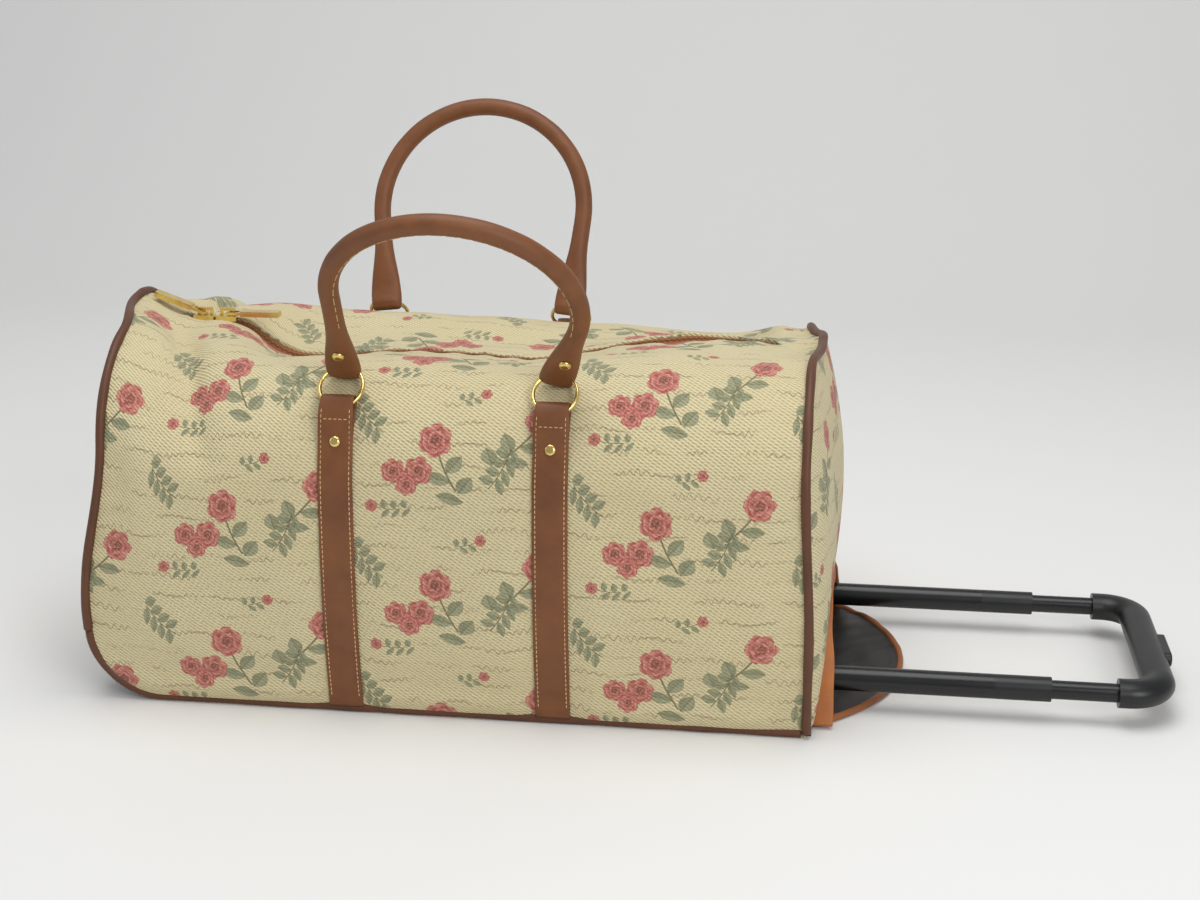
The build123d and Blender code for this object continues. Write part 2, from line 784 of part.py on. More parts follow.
for side_name, middle_x, lean, sway in (
    ("front", front_strap_middle_x, radians(front_handle_lean), front_handle_sway),
    ("back", back_strap_middle_x, radians(back_handle_lean), back_handle_sway),
):
    handle_plane = Plane(
        (middle_x, hinge_y, hinge_z), x_dir=(1, 0, 0), z_dir=(0, -cos(lean), -sin(lean))
    )
    core_radius = handle_tube_radius - handle_leather
    save_on_side(handle_sweep(handle_plane, sway, core_radius), f"handle_core_{side_name}", side_name)

    with BuildPart() as handle:
        add(handle_sweep(handle_plane, sway, handle_tube_radius, core_radius))
        for side in (-1, 1):
            with BuildSketch(leg_plane(handle_plane, side, sway, tab_start)):
                RectangleRounded(loop_width, tab_thickness, tab_corner)
            with BuildSketch(leg_plane(handle_plane, side, sway, tab_length)):
                Circle(handle_tube_radius)
            loft()
            ring_place = handle_plane.from_local_coords(Vector(side * half_span, 0, 0))
            with Locations(Plane(ring_place, z_dir=(1, 0, 0))):
                Cylinder(loop_radius, loop_width)
                Cylinder(loop_bore_radius, 2 * loop_width, mode=Mode.SUBTRACT)
    save_on_side(handle.part, f"handle_{side_name}", side_name)

    with BuildPart() as handle_rivets:
        for side in (-1, 1):
            place = handle_plane.from_local_coords(Vector(*on_leg(side, sway, tab_rivet_distance), 0))
            with BuildSketch(Plane(place, x_dir=(1, 0, 0), z_dir=handle_plane.z_dir)):
                Circle(rivet_radius)
            extrude(amount=tab_rivet_reach)
        outer_rims = [
            edges().filter_by(GeomType.CIRCLE).filter_by(lambda e: e.center().X * side > middle_x * side)
            .sort_by(Axis.Y)[0] for side in (-1, 1)
        ]
        fillet(outer_rims, rivet_round)
        add(handle.part, mode=Mode.SUBTRACT)
    save_on_side(handle_rivets.part, f"handle_rivets_{side_name}", side_name)
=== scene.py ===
from math import asin, atan2, cos, hypot, pi, radians, sin

import bpy
import numpy as np
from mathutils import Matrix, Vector


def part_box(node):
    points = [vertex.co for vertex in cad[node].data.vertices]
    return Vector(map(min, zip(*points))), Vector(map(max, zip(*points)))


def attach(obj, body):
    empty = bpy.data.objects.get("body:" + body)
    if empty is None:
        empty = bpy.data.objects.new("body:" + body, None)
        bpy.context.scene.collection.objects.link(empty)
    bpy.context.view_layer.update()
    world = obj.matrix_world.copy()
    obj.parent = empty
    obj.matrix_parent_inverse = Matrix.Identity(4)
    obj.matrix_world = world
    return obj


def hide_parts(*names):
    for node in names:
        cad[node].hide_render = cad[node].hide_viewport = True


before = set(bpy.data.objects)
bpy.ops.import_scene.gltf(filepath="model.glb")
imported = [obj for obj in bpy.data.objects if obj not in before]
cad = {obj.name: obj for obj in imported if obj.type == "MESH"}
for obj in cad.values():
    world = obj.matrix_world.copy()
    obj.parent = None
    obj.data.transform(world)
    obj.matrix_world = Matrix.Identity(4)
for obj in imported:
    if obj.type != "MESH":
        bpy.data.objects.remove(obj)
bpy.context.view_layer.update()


# Tapestry cloth, front and back: two widths of printed cotton twill, sewn to the piping along the
# base and the ends, and to the zip along the top. The cloth is unstuffed: it stands up at the piped
# ends, sags between them along the zip, and is held flat under the leather straps.
half_length = 0.265
half_depth = 0.150
half_base = 0.140
widest_height = 0.120
shoulder_drop = 0.083
shoulder_radius = 0.088
shoulder_turn = radians(84)
middle_crest = 0.258
wheel_end_crest = 0.276
handle_end_crest = 0.264
corner_radius = 0.055
seam_x = 0.2616
zip_half_width = 0.0050
strap_width = 0.025
side_radius = ((half_depth - half_base) ** 2 + widest_height ** 2) / (2 * (half_depth - half_base))
level_end_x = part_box("slider_right")[1].x


def box_middle_x(node):
    """Where the middle of a CAD piece lies along the bag."""
    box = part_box(node)
    return (box[0].x + box[1].x) / 2


strap_front_x = [box_middle_x(f"strap_front_{end}") for end in ("left", "right")]
strap_back_x = [box_middle_x(f"strap_back_{end}") for end in ("left", "right")]


def smooth(t):
    """Soft step from 0 to 1."""
    t = np.clip(t, 0.0, 1.0)
    return t * t * (3 - 2 * t)


def section_line(crest, steps):
    """Half of the bag's cross-section from the base seam to the zip, in equal steps along the cloth."""
    start = -asin(widest_height / side_radius)
    turn = asin((crest - shoulder_drop - widest_height) / side_radius)
    side = np.linspace(start, turn, 300)
    bend = np.linspace(turn, turn + shoulder_turn, 300)[1:]
    middle_y = half_depth - side_radius + (side_radius - shoulder_radius) * cos(turn)
    middle_z = widest_height + (side_radius - shoulder_radius) * sin(turn)
    y = np.concatenate([half_depth - side_radius + side_radius * np.cos(side),
                        middle_y + shoulder_radius * np.cos(bend)])
    z = np.concatenate([widest_height + side_radius * np.sin(side),
                        middle_z + shoulder_radius * np.sin(bend)])
    heading = turn + shoulder_turn + pi / 2
    half_turn = (atan2(crest - z[-1], -y[-1]) - heading + pi) % (2 * pi) - pi
    reach = hypot(y[-1], crest - z[-1]) / sin(half_turn) / 2
    top = heading + 2 * half_turn * np.linspace(0, 1, 120)[1:]
    y = np.concatenate([y, y[-1] + reach * (np.sin(top) - sin(heading))])
    z = np.concatenate([z, z[-1] - reach * (np.cos(top) - cos(heading))])
    length = np.concatenate([[0], np.cumsum(np.hypot(np.diff(y), np.diff(z)))])
    even = np.linspace(0, length[-1], steps)
    return np.interp(even, length, y), np.interp(even, length, z), length[-1]


section_steps = 500
middle_y, middle_z, cloth_reach = section_line(middle_crest, section_steps)
wheel_y, wheel_z, _ = section_line(wheel_end_crest, section_steps)
handle_y, handle_z, _ = section_line(handle_end_crest, section_steps)
along_section = np.linspace(0, cloth_reach, section_steps)

# The zip along the bag and its height; then how far the back cloth sags behind it
zip_line = [
    (-0.265, 0.2770), (-0.250, 0.2735), (-0.238, 0.2670), (-0.226, 0.2600), (-0.218, 0.2580),
    (level_end_x + 0.004, 0.2575), (level_end_x + 0.017, 0.2475), (level_end_x + 0.030, 0.2385),
    (-0.145, 0.2325), (-0.122, 0.2310), (-0.091, 0.2350), (-0.059, 0.2380), (-0.036, 0.2382), (0.0, 0.2370),
    (0.040, 0.2345), (0.060, 0.2355), (0.095, 0.2440), (0.125, 0.2505), (0.170, 0.2555), (0.208, 0.2545),
    (0.240, 0.2518), (0.255, 0.2525), (0.265, 0.2570),
]
back_sag = [
    (-0.265, 0.0), (-0.246, 0.003), (-0.238, 0.0065), (-0.229, 0.0125), (-0.219, 0.0100), (-0.209, 0.0050),
    (-0.197, 0.0015), (-0.120, 0.002), (-0.060, 0.003), (0.0, 0.006), (0.05, 0.012), (0.10, 0.0135),
    (0.14, 0.017), (0.17, 0.024), (0.195, 0.026), (0.215, 0.019), (0.235, 0.010), (0.262, 0.0),
]
wheel_end_slump = 0.025
handle_end_slump = 0.010
pull_groove = 0.0028
wheel_end_lean = 0.020
handle_end_lean_front = 0.006
handle_end_lean_back = 0.012


def zip_height(x):
    """Height of the zip along the bag, softened so that it has no corners."""
    spread = np.linspace(-0.009, 0.009, 9)
    return np.mean([np.interp(x + d, *np.transpose(zip_line)) for d in spread], axis=0)


def zip_tilt(x):
    """How far the front lip of the zip lies below its middle, and the back lip above, where it dips."""
    x = np.asarray(x)
    return 0.0030 * np.exp(-((x + 0.150) / 0.034) ** 2) + 0.0026 * np.exp(-((x - 0.155) / 0.030) ** 2)


def skin(x, s, back=False):
    """Where the front cloth lies: x along the bag, s up the cloth. The back is its mirror, slumped."""
    x, s = np.broadcast_arrays(np.asarray(x, float), np.asarray(s, float))
    wheel = smooth((-x - 0.205) / 0.060)
    handle = smooth((x - 0.215) / 0.050)
    plain = 1 - wheel - handle
    y = plain * np.interp(s, along_section, middle_y) + wheel * np.interp(s, along_section, wheel_y)
    y = y + handle * np.interp(s, along_section, handle_y)
    z = plain * np.interp(s, along_section, middle_z) + wheel * np.interp(s, along_section, wheel_z)
    z = z + handle * np.interp(s, along_section, handle_z)
    crest = plain * middle_crest + wheel * wheel_end_crest + handle * handle_end_crest
    z = z - (crest - zip_height(x)) * smooth((0.118 - y) / 0.112)
    z = z + (1 if back else -1) * zip_tilt(x) * np.exp(-np.maximum(y, 0) / 0.030)
    if back:
        slump = wheel_end_slump * smooth((-x - 0.236) / 0.028)
        slump = slump + handle_end_slump * smooth((x - 0.232) / 0.030)
        z = z - slump * smooth((y - 0.010) / 0.060) * smooth((0.150 - y) / 0.040)
        sag = np.interp(x, *np.transpose(back_sag))
        z = z - sag * smooth((y - 0.004) / 0.060) * smooth((0.128 - y) / 0.040)
    groove = smooth((-x - 0.224) / 0.008) * smooth((x + seam_x) / 0.006) * np.exp(-(y / 0.009) ** 2)
    z = z - pull_groove * groove
    lean = smooth((z - 0.07) / 0.13) * smooth((y - 0.012) / 0.080)
    x = x + wheel_end_lean * lean * np.clip((-0.09 - x) / 0.175, 0, 1) ** 1.4
    handle_end_lean = handle_end_lean_back if back else handle_end_lean_front
    x = x - handle_end_lean * lean * np.clip((x - 0.12) / 0.145, 0, 1) ** 1.4
    return np.stack([x, -y, z], axis=-1)


def facing(points):
    """Outward direction at each place of a grid of points."""
    across = np.gradient(points, axis=0)
    up = np.gradient(points, axis=1)
    out = np.cross(across, up)
    return out / np.maximum(np.linalg.norm(out, axis=-1, keepdims=True), 1e-12)


def ripple(x, s, seed, pitch):
    """Slow uneven waves, the same on every run."""
    rng = np.random.default_rng(seed)
    total = np.zeros(np.broadcast(x, s).shape)
    for _ in range(7):
        angle, phase, stretch = rng.uniform(0, pi), rng.uniform(0, 2 * pi), rng.uniform(0.7, 1.5)
        total = total + np.sin(2 * pi * (x * cos(angle) + s * sin(angle)) / (pitch * stretch) + phase)
    return total / 7


def billow(x, s, straps, seed):
    """How far the slack cloth stands off its plain form: full between the seams, flat under the straps."""
    from_end = half_length - np.abs(x)
    past_corner = np.maximum(0, corner_radius - half_length - x)
    s_low = np.maximum(0, corner_radius - np.sqrt(np.maximum(0, corner_radius ** 2 - past_corner ** 2)))
    edge = smooth(from_end / 0.05) * smooth((s - s_low) / 0.05) * smooth((cloth_reach - s) / 0.04)
    clear = np.ones_like(edge)
    for strap_x in straps:
        clear = clear * (1 - np.exp(-((x - strap_x) / 0.024) ** 4) * smooth((cloth_reach - 0.10 - s) / 0.03))
    slack = 0.0022 + 0.0030 * ripple(x, s, seed, 0.16) + 0.0012 * ripple(x, s, seed + 1, 0.07)
    pucker = np.exp(-from_end / 0.016) * np.sin(2 * pi * s / 0.021 + 2.0 * ripple(x, s, seed + 2, 0.12))
    gather = np.sin(2 * pi * x / 0.026 + 3.0 * ripple(x, s, seed + 3, 0.10))
    roll = np.exp(-((s - s_low - 0.013) / 0.009) ** 2) * smooth(from_end / 0.05)
    out = edge * clear * slack + 0.0006 * pucker * smooth((s - s_low) / 0.03)
    out = out + 0.0007 * np.exp(-(cloth_reach - s) / 0.020) * gather + 0.0030 * roll * clear
    for x0, s0, x1, s1, width, depth in folds:
        reach_x, reach_s = x1 - x0, s1 - s0
        along = np.clip(((x - x0) * reach_x + (s - s0) * reach_s) / (reach_x ** 2 + reach_s ** 2), 0, 1)
        off = np.hypot(x - x0 - along * reach_x, s - s0 - along * reach_s)
        out = out + depth * np.exp(-(off / width) ** 2) * (0.35 + 0.65 * np.sin(pi * along))
    return out


# Folds that the slack leaves: start, end, width and depth of each, up the cloth from the base seam
folds = [
    (-0.224, 0.332, -0.178, 0.195, 0.013, -0.0105),
    (-0.176, 0.345, -0.150, 0.260, 0.016, 0.0028),
    (-0.240, 0.250, -0.222, 0.120, 0.012, 0.0022),
    (-0.048, 0.340, 0.040, 0.318, 0.015, -0.0026),
    (0.150, 0.345, 0.215, 0.290, 0.016, -0.0026),
    (0.236, 0.300, 0.215, 0.170, 0.016, 0.0024),
    (-0.215, 0.060, -0.150, 0.030, 0.014, 0.0018),
    (0.110, 0.120, 0.220, 0.060, 0.020, 0.0016),
]


def new_piece(name, points, faces, uv=None):
    """A smooth mesh in the scene, with its cloth lengths as the map where it has one."""
    mesh = bpy.data.meshes.new(name)
    mesh.from_pydata([tuple(p) for p in points], [], faces)
    if uv is not None:
        layer = mesh.uv_layers.new(name="cloth_length")
        corner = np.empty(len(mesh.loops), dtype=np.int32)
        mesh.loops.foreach_get("vertex_index", corner)
        layer.data.foreach_set("uv", np.asarray(uv, np.float32)[corner].ravel())
    mesh.polygons.foreach_set("use_smooth", [True] * len(mesh.polygons))
    mesh.update()
    piece = bpy.data.objects.new(name, mesh)
    bpy.context.scene.collection.objects.link(piece)
    return piece


def sheet_faces(rows, columns, closed=False, flip=False):
    """Four-sided faces over a grid, running round where it is closed."""
    faces = []
    for i in range(rows - 1):
        for j in range(columns if closed else columns - 1):
            k = (j + 1) % columns
            quad = (i * columns + j, (i + 1) * columns + j, (i + 1) * columns + k, i * columns + k)
            faces.append(quad[::-1] if flip else quad)
    return faces


def end_caps(rows, columns, flip=False):
    """Flat faces that close both ends of a grid that runs round."""
    first = tuple(range(columns))
    last = tuple(range((rows - 1) * columns, rows * columns))[::-1]
    return [first[::-1], last[::-1]] if flip else [first, last]


def mesh_area(piece, most):
    """Area of a piece's mesh, held to that of its flat size."""
    return min(sum(p.area for p in piece.data.polygons), most)


def length_map(along, across):
    """Lengths along and across the cloth for every point of a grid."""
    return np.stack(np.broadcast_arrays(along, across), axis=-1).reshape(-1, 2)


def wear_material(piece, material):
    """Give a piece one material in every slot that it has."""
    if not piece.data.materials:
        piece.data.materials.append(material)
    for i in range(len(piece.data.materials)):
        piece.data.materials[i] = material


corner_angles = np.linspace(0, pi / 2, 22)
corner_x = corner_radius * (1 - np.cos(corner_angles)) - half_length
corner_x = corner_x + (half_length - seam_x) * np.cos(corner_angles)
panel_x = np.concatenate([corner_x, np.linspace(corner_radius - half_length, seam_x, 165)[1:]])
panel_low = np.concatenate([corner_radius * (1 - np.sin(corner_angles)), np.zeros(164)])
panel_rows = np.linspace(0, 1, 150) ** 0.98
back_print_shift = 0.43
cloths = {}
for name, straps, seed, side in (("front", strap_front_x, 4, 1), ("back", strap_back_x, 21, -1)):
    x = panel_x[:, None]
    top = cloth_reach - zip_half_width * smooth((0.234 - np.abs(x)) / 0.006)
    s = panel_low[:, None] + (top - panel_low[:, None]) * panel_rows[None, :]
    form = skin(x, s, back=side < 0)
    points = form + facing(form) * billow(x, s, straps, seed)[..., None]
    hem = points[:, -1:, :] + np.array([[[0, 0.0004, -0.0012], [0, 0.0002, -0.0030]]])
    points = np.concatenate([points, hem], axis=1)
    s = np.concatenate([s, s[:, -1:] + 0.0013, s[:, -1:] + 0.003], axis=1)
    points[..., 1] *= side
    rows, columns = points.shape[:2]
    uv = length_map(x * side + (0 if side > 0 else back_print_shift), s)
    cloth = new_piece(f"cloth_{name}", points.reshape(-1, 3), sheet_faces(rows, columns, flip=side < 0), uv)
    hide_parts(f"{name}_panel")
    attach(cloth, "bag")
    cloths[name] = cloth


# Node helpers for the printed cloth and for every material after it
class Number:
    """A value in a node tree that adds up with plain signs."""

    def __init__(self, socket):
        self.tree = socket.id_data
        self.socket = socket

    def to(self, how, *others):
        """One sum on this value and others."""
        return calc(self.tree, how, self, *others)

    def held(self, low=0.0, high=1.0):
        """This value, kept between two bounds."""
        node = self.tree.nodes.new("ShaderNodeClamp")
        feed(self, node.inputs["Value"])
        node.inputs["Min"].default_value = low
        node.inputs["Max"].default_value = high
        return Number(node.outputs[0])

    def __add__(self, other):
        return self.to("ADD", other)

    def __sub__(self, other):
        return self.to("SUBTRACT", other)

    def __rsub__(self, other):
        return calc(self.tree, "SUBTRACT", other, self)

    def __mul__(self, other):
        return self.to("MULTIPLY", other)

    def __truediv__(self, other):
        return self.to("DIVIDE", other)


def feed(value, socket):
    """Put a plain value, or what comes out of another socket, into a socket."""
    if isinstance(value, (int, float, tuple)):
        socket.default_value = value
    else:
        value.tree.links.new(value.socket, socket)


def calc(tree, how, *values):
    """One sum on plain values or node values."""
    node = tree.nodes.new("ShaderNodeMath")
    node.operation = how
    for socket, value in zip(node.inputs, values):
        feed(value, socket)
    return Number(node.outputs[0])


def blend_colour(tree, share, first, second, how="MIX"):
    """Two colours mixed by a share."""
    node = tree.nodes.new("ShaderNodeMix")
    node.data_type = "RGBA"
    node.blend_type = how
    for index, value in ((0, share), (6, first), (7, second)):
        feed(value, node.inputs[index])
    return Number(node.outputs[2])


def noise(tree, place, scale, detail=2.0, stretch=None):
    """Soft noise at a place, finer with scale."""
    node = tree.nodes.new("ShaderNodeTexNoise")
    node.inputs["Scale"].default_value = scale
    node.inputs["Detail"].default_value = detail
    if stretch is not None:
        widen = tree.nodes.new("ShaderNodeVectorMath")
        widen.operation = "MULTIPLY"
        widen.inputs[1].default_value = stretch
        feed(place, widen.inputs[0])
        place = Number(widen.outputs[0])
    feed(place, node.inputs["Vector"])
    return Number(node.outputs["Fac"])


def split_place(tree, place):
    """The three lengths of a place."""
    node = tree.nodes.new("ShaderNodeSeparateXYZ")
    feed(place, node.inputs[0])
    return [Number(output) for output in node.outputs]


def join_place(tree, x, y):
    """A flat place from its two lengths."""
    node = tree.nodes.new("ShaderNodeCombineXYZ")
    for socket, value in zip(node.inputs, (x, y)):
        feed(value, socket)
    return Number(node.outputs[0])


def start_group(name, inputs, outputs):
    """An empty shader group with named sockets; gives the tree, its inputs and its outputs."""
    tree = bpy.data.node_groups.new(name, "ShaderNodeTree")
    for socket, kind, value in inputs:
        made = tree.interface.new_socket(socket, in_out="INPUT", socket_type=kind)
        if value is not None:
            made.default_value = value
    for socket, kind in outputs:
        tree.interface.new_socket(socket, in_out="OUTPUT", socket_type=kind)
    entry = tree.nodes.new("NodeGroupInput").outputs
    given = {socket: Number(entry[socket]) for socket, _, _ in inputs}
    return tree, given, tree.nodes.new("NodeGroupOutput").inputs


def use_group(tree, name, **values):
    """Place a group in a tree with its own values; gives its outputs."""
    node = tree.nodes.new("ShaderNodeGroup")
    node.node_tree = bpy.data.node_groups[name]
    for key, value in values.items():
        feed(value, node.inputs[key.replace("_", " ")])
    return {output.name: Number(output) for output in node.outputs}


def colour(red, green, blue):
    """A colour as seen on a screen, 0 to 255, as light."""
    levels = [c / 255 for c in (red, green, blue)]
    return tuple(c / 12.92 if c <= 0.04045 else ((c + 0.055) / 1.055) ** 2.4 for c in levels) + (1.0,)


# Printed flowers: round blooms, leaf sprigs and buds in a half-drop repeat
repeat_x = 0.156
repeat_y = 0.104
FLOAT, VECTOR, COLOUR = "NodeSocketFloat", "NodeSocketVector", "NodeSocketColor"

tree, given, result = start_group(
    "print_place",
    [("Cloth", VECTOR, None), ("Across", FLOAT, 0.0), ("Up", FLOAT, 0.0), ("Turn", FLOAT, 0.0),
     ("Size", FLOAT, 0.01)],
    [("Place", VECTOR)])
across, up, _ = split_place(tree, given["Cloth"])
across = across - given["Across"]
step = (across / repeat_x).to("ROUND")
across = across - step * repeat_x
up = (up - given["Up"] - step * (repeat_y / 2)).to("WRAP", repeat_y / 2, -repeat_y / 2)
turned_cos = given["Turn"].to("COSINE")
turned_sin = given["Turn"].to("SINE")
local_x = (across * turned_cos + up * turned_sin) / given["Size"]
local_y = (up * turned_cos - across * turned_sin) / given["Size"]
feed(join_place(tree, local_x, local_y), result["Place"])

# One rose: scalloped petals wound round a dark heart, in lengths of its own radius
scallop_depth = 0.16
petal_turns = 3.3
petal_wind = 0.159
heart_radius = 0.40
dark_rim = 0.20
tree, given, result = start_group(
    "print_bloom",
    [("Place", VECTOR, None), ("Under", COLOUR, None), ("Off X", FLOAT, 0.0), ("Off Y", FLOAT, 0.0),
     ("Size", FLOAT, 1.0), ("Spin", FLOAT, 0.0)],
    [("Colour", COLOUR)])
px, py, _ = split_place(tree, given["Place"])
px = (px - given["Off X"]) / given["Size"]
py = (py - given["Off Y"]) / given["Size"]
rough = noise(tree, join_place(tree, px, py), 2.6, 3.0) - 0.5
radius = (px * px + py * py).to("SQRT")
angle = py.to("ARCTAN2", px) + given["Spin"]
rim = (angle * 3.0).to("SINE").to("ABSOLUTE") * scallop_depth + 0.86 + rough * 0.34
mask = ((rim - radius) * 14.0).held()
ring = radius * petal_turns + angle * petal_wind + rough * 1.7
tip = (angle * 5.0 + ring.to("FLOOR") * 2.3).to("SINE") * 0.22
lit = (ring.to("FRACT") + tip + rough * 0.8).held()
heart = ((heart_radius - radius) * 5.0).held()
pink = blend_colour(tree, lit, colour(176, 62, 70), colour(234, 156, 144))
pink = blend_colour(tree, heart * (1.0 - lit * 0.6), pink, colour(116, 24, 36))
edge_dark = ((dark_rim - (rim - radius)) * 3.0).held()
pink = blend_colour(tree, edge_dark * 0.30, pink, colour(196, 84, 84))
feed(blend_colour(tree, mask * 0.94, given["Under"], pink), result["Colour"])

# One stem with leaves on both sides, in lengths of the sprig's own size
stem_half_width = 0.085
leaf_cos, leaf_sin = 0.86, 0.50
leaf_roundness = 1.16
tree, given, result = start_group(
    "print_sprig",
    [("Place", VECTOR, None), ("Under", COLOUR, None), ("Stem", FLOAT, 4.0), ("Leaf", FLOAT, 1.5),
     ("Spacing", FLOAT, 1.4), ("Bare", FLOAT, 0.8), ("Bend", FLOAT, 0.1)],
    [("Colour", COLOUR)])
px, py, _ = split_place(tree, given["Place"])
down = py * -1.0
px = px - down * down * given["Bend"]
on_stem = down.to("GREATER_THAN", 0.0) * down.to("LESS_THAN", given["Stem"])
stem_mask = on_stem * ((stem_half_width - px.to("ABSOLUTE")) * 20.0).held()
off = down - given["Bare"] + px.to("SIGN") * given["Spacing"] * 0.22
index = (off / given["Spacing"]).to("FLOOR")
last = ((given["Stem"] - given["Bare"] - 0.2) / given["Spacing"]).to("FLOOR")
inside = index.to("GREATER_THAN", -0.5) * index.to("LESS_THAN", last + 0.5)
off = off - (index + 0.86) * given["Spacing"]
out_x = px.to("ABSOLUTE")
leaf_x = (out_x * leaf_cos - off * leaf_sin) / given["Leaf"]
leaf_y = (off * leaf_cos + out_x * leaf_sin) / given["Leaf"]
leaf_gap = leaf_x * (1.0 - leaf_x) * leaf_roundness - leaf_y.to("ABSOLUTE")
leaf_mask = inside * (leaf_gap * 22.0).held()
vein = (1.0 - leaf_y.to("ABSOLUTE") * 26.0).held()
wash = noise(tree, given["Place"], 1.4, 2.0)
green = blend_colour(tree, wash, colour(100, 112, 84), colour(170, 176, 142))
green = blend_colour(tree, leaf_y.to("GREATER_THAN", 0.0) * 0.35, green, colour(186, 190, 158))
green = blend_colour(tree, vein * 0.65, green, colour(78, 88, 66))
green = blend_colour(tree, (0.75 - leaf_gap * 10.0).held(), green, colour(96, 106, 82))
under = blend_colour(tree, leaf_mask * 0.88, given["Under"], green)
feed(blend_colour(tree, stem_mask * 0.85, under, colour(96, 98, 70)), result["Colour"])

# Thin brown wavy lines between the flowers, broken here and there
row_height = 0.0148
row_shift = 0.0371
slow_wave = 0.041
fast_wave = 0.0060
line_half_width = 0.00042
tree, given, result = start_group(
    "print_tendrils", [("Cloth", VECTOR, None), ("Under", COLOUR, None)], [("Colour", COLOUR)])
across, up, _ = split_place(tree, given["Cloth"])
row = (up / row_height).to("ROUND")
shifted = across + row * row_shift
slow = (shifted * (2 * pi / slow_wave)).to("SINE")
phase = shifted * (2 * pi / fast_wave) + slow * 1.5
swing = noise(tree, given["Cloth"], 52.0, 1.0, (1.0, 0.6, 1.0)) - 0.34
swing = (swing * 0.0075).held(0.0002, 0.0026)
wave_up = slow * 0.0011 + phase.to("SINE") * swing
near = (up - row * row_height - wave_up).to("ABSOLUTE")
slope = (phase.to("COSINE") * 1.1).to("ABSOLUTE") + 1.0
line = (1.35 - near / line_half_width / slope).held()
broken = ((noise(tree, given["Cloth"], 34.0, 1.0, (1.0, 2.2, 1.0)) - 0.44) * 9.0).held()
inked = blend_colour(tree, line * broken * 0.56, given["Under"], colour(122, 96, 72))
feed(inked, result["Colour"])

# The whole print: cream ground, wavy lines, leaf sprigs, then the blooms on top
tree, given, result = start_group("cloth_print", [("Cloth", VECTOR, None)], [("Colour", COLOUR)])
cloth_place = given["Cloth"]
patchy = noise(tree, cloth_place, 9.0, 3.0)
ground = blend_colour(tree, patchy, colour(229, 215, 167), colour(239, 227, 185))
slub = noise(tree, cloth_place, 60.0, 3.0, (1.0, 14.0, 1.0))
ground = blend_colour(tree, ((slub - 0.5) * 0.9).held(), ground, colour(196, 182, 142))
shown = use_group(tree, "print_tendrils", Cloth=cloth_place, Under=ground)["Colour"]


def print_spot(across_at, up_at, turn, size):
    """The place of one motif in the repeat."""
    spot = use_group(tree, "print_place", Cloth=cloth_place, Across=across_at, Up=up_at, Turn=turn, Size=size)
    return spot["Place"]


# Place, turn and size of each sprig; then its stem, leaves, their spacing, the bare length and the bend
sprigs = [
    ((0.000, 0.000, 0.25, 0.0115), (3.1, 1.55, 1.35, 1.05, 0.06)),
    ((0.072, 0.016, -0.55, 0.0115), (2.9, 1.45, 1.30, 1.00, -0.07)),
    ((0.038, 0.074, 2.40, 0.0062), (5.0, 1.9, 1.15, 0.30, 0.05)),
    ((0.118, 0.058, -2.10, 0.0062), (4.6, 1.9, 1.15, 0.25, -0.06)),
    ((0.112, 0.006, 1.30, 0.0046), (4.2, 1.7, 1.50, 0.90, 0.05)),
    ((0.031, 0.036, -1.10, 0.0042), (3.8, 1.7, 1.50, 0.90, -0.05)),
]
for where, sizes in sprigs:
    stem, leaf, spacing, bare, bend = sizes
    shown = use_group(tree, "print_sprig", Place=print_spot(*where), Under=shown, Stem=stem, Leaf=leaf,
                      Spacing=spacing, Bare=bare, Bend=bend)["Colour"]
# Place, turn and size of each bloom; then the offset, size and spin of each of its heads
blooms = [
    ((0.000, 0.000, 0.25, 0.0126), [(0.0, 0.15, 1.0, 0.3)]),
    ((0.072, 0.016, -0.55, 0.0120), [(0.0, 0.15, 1.0, 2.1)]),
    ((0.112, 0.006, 1.30, 0.0050), [(0.0, 0.3, 0.95, 1.1)]),
    ((0.031, 0.036, -1.10, 0.0046), [(0.0, 0.3, 0.95, 0.4)]),
    ((0.136, 0.030, 0.40, 0.0112),
     [(-0.75, 0.45, 0.82, 0.2), (0.72, -0.10, 0.95, 1.7), (-0.30, -0.62, 0.72, 2.6)]),
]
for where, heads in blooms:
    spot = print_spot(*where)
    for off_x, off_y, head, spin in heads:
        shown = use_group(tree, "print_bloom", Place=spot, Under=shown, Off_X=off_x, Off_Y=off_y, Size=head,
                          Spin=spin)["Colour"]
feed(shown, result["Colour"])

# Twill: ridges that run down to the right, crossed by finer picks. Its Shade is low in the grooves between
# them, and the tapestry paints shade there from it
twill_slope = 1.5
tree, given, result = start_group(
    "twill_weave", [("Cloth", VECTOR, None), ("Pitch", FLOAT, 0.0042)], [("Height", FLOAT), ("Shade", FLOAT)])
across, up, _ = split_place(tree, given["Cloth"])
wander = noise(tree, given["Cloth"], 160.0, 2.0) * 0.0013
diagonal = across + up * twill_slope + wander
wale = (diagonal * (2 * pi) / given["Pitch"]).to("SINE")
pick = ((up - wander) * (4 * pi) / given["Pitch"]).to("SINE")
weave = wale * 0.35 + pick * 0.15
feed(weave + 0.5, result["Height"])
feed((weave * 0.9 + 0.5).held(), result["Shade"])


def start_material(name):
    """A material with its shader; gives the material, its tree and its shader's sockets."""
    material = bpy.data.materials.new(name)
    material.use_nodes = True
    tree = material.node_tree
    return material, tree, tree.nodes["Principled BSDF"].inputs


def cloth_lengths(tree):
    """The map of a piece in lengths of cloth."""
    node = tree.nodes.new("ShaderNodeUVMap")
    node.uv_map = "cloth_length"
    return Number(node.outputs[0])


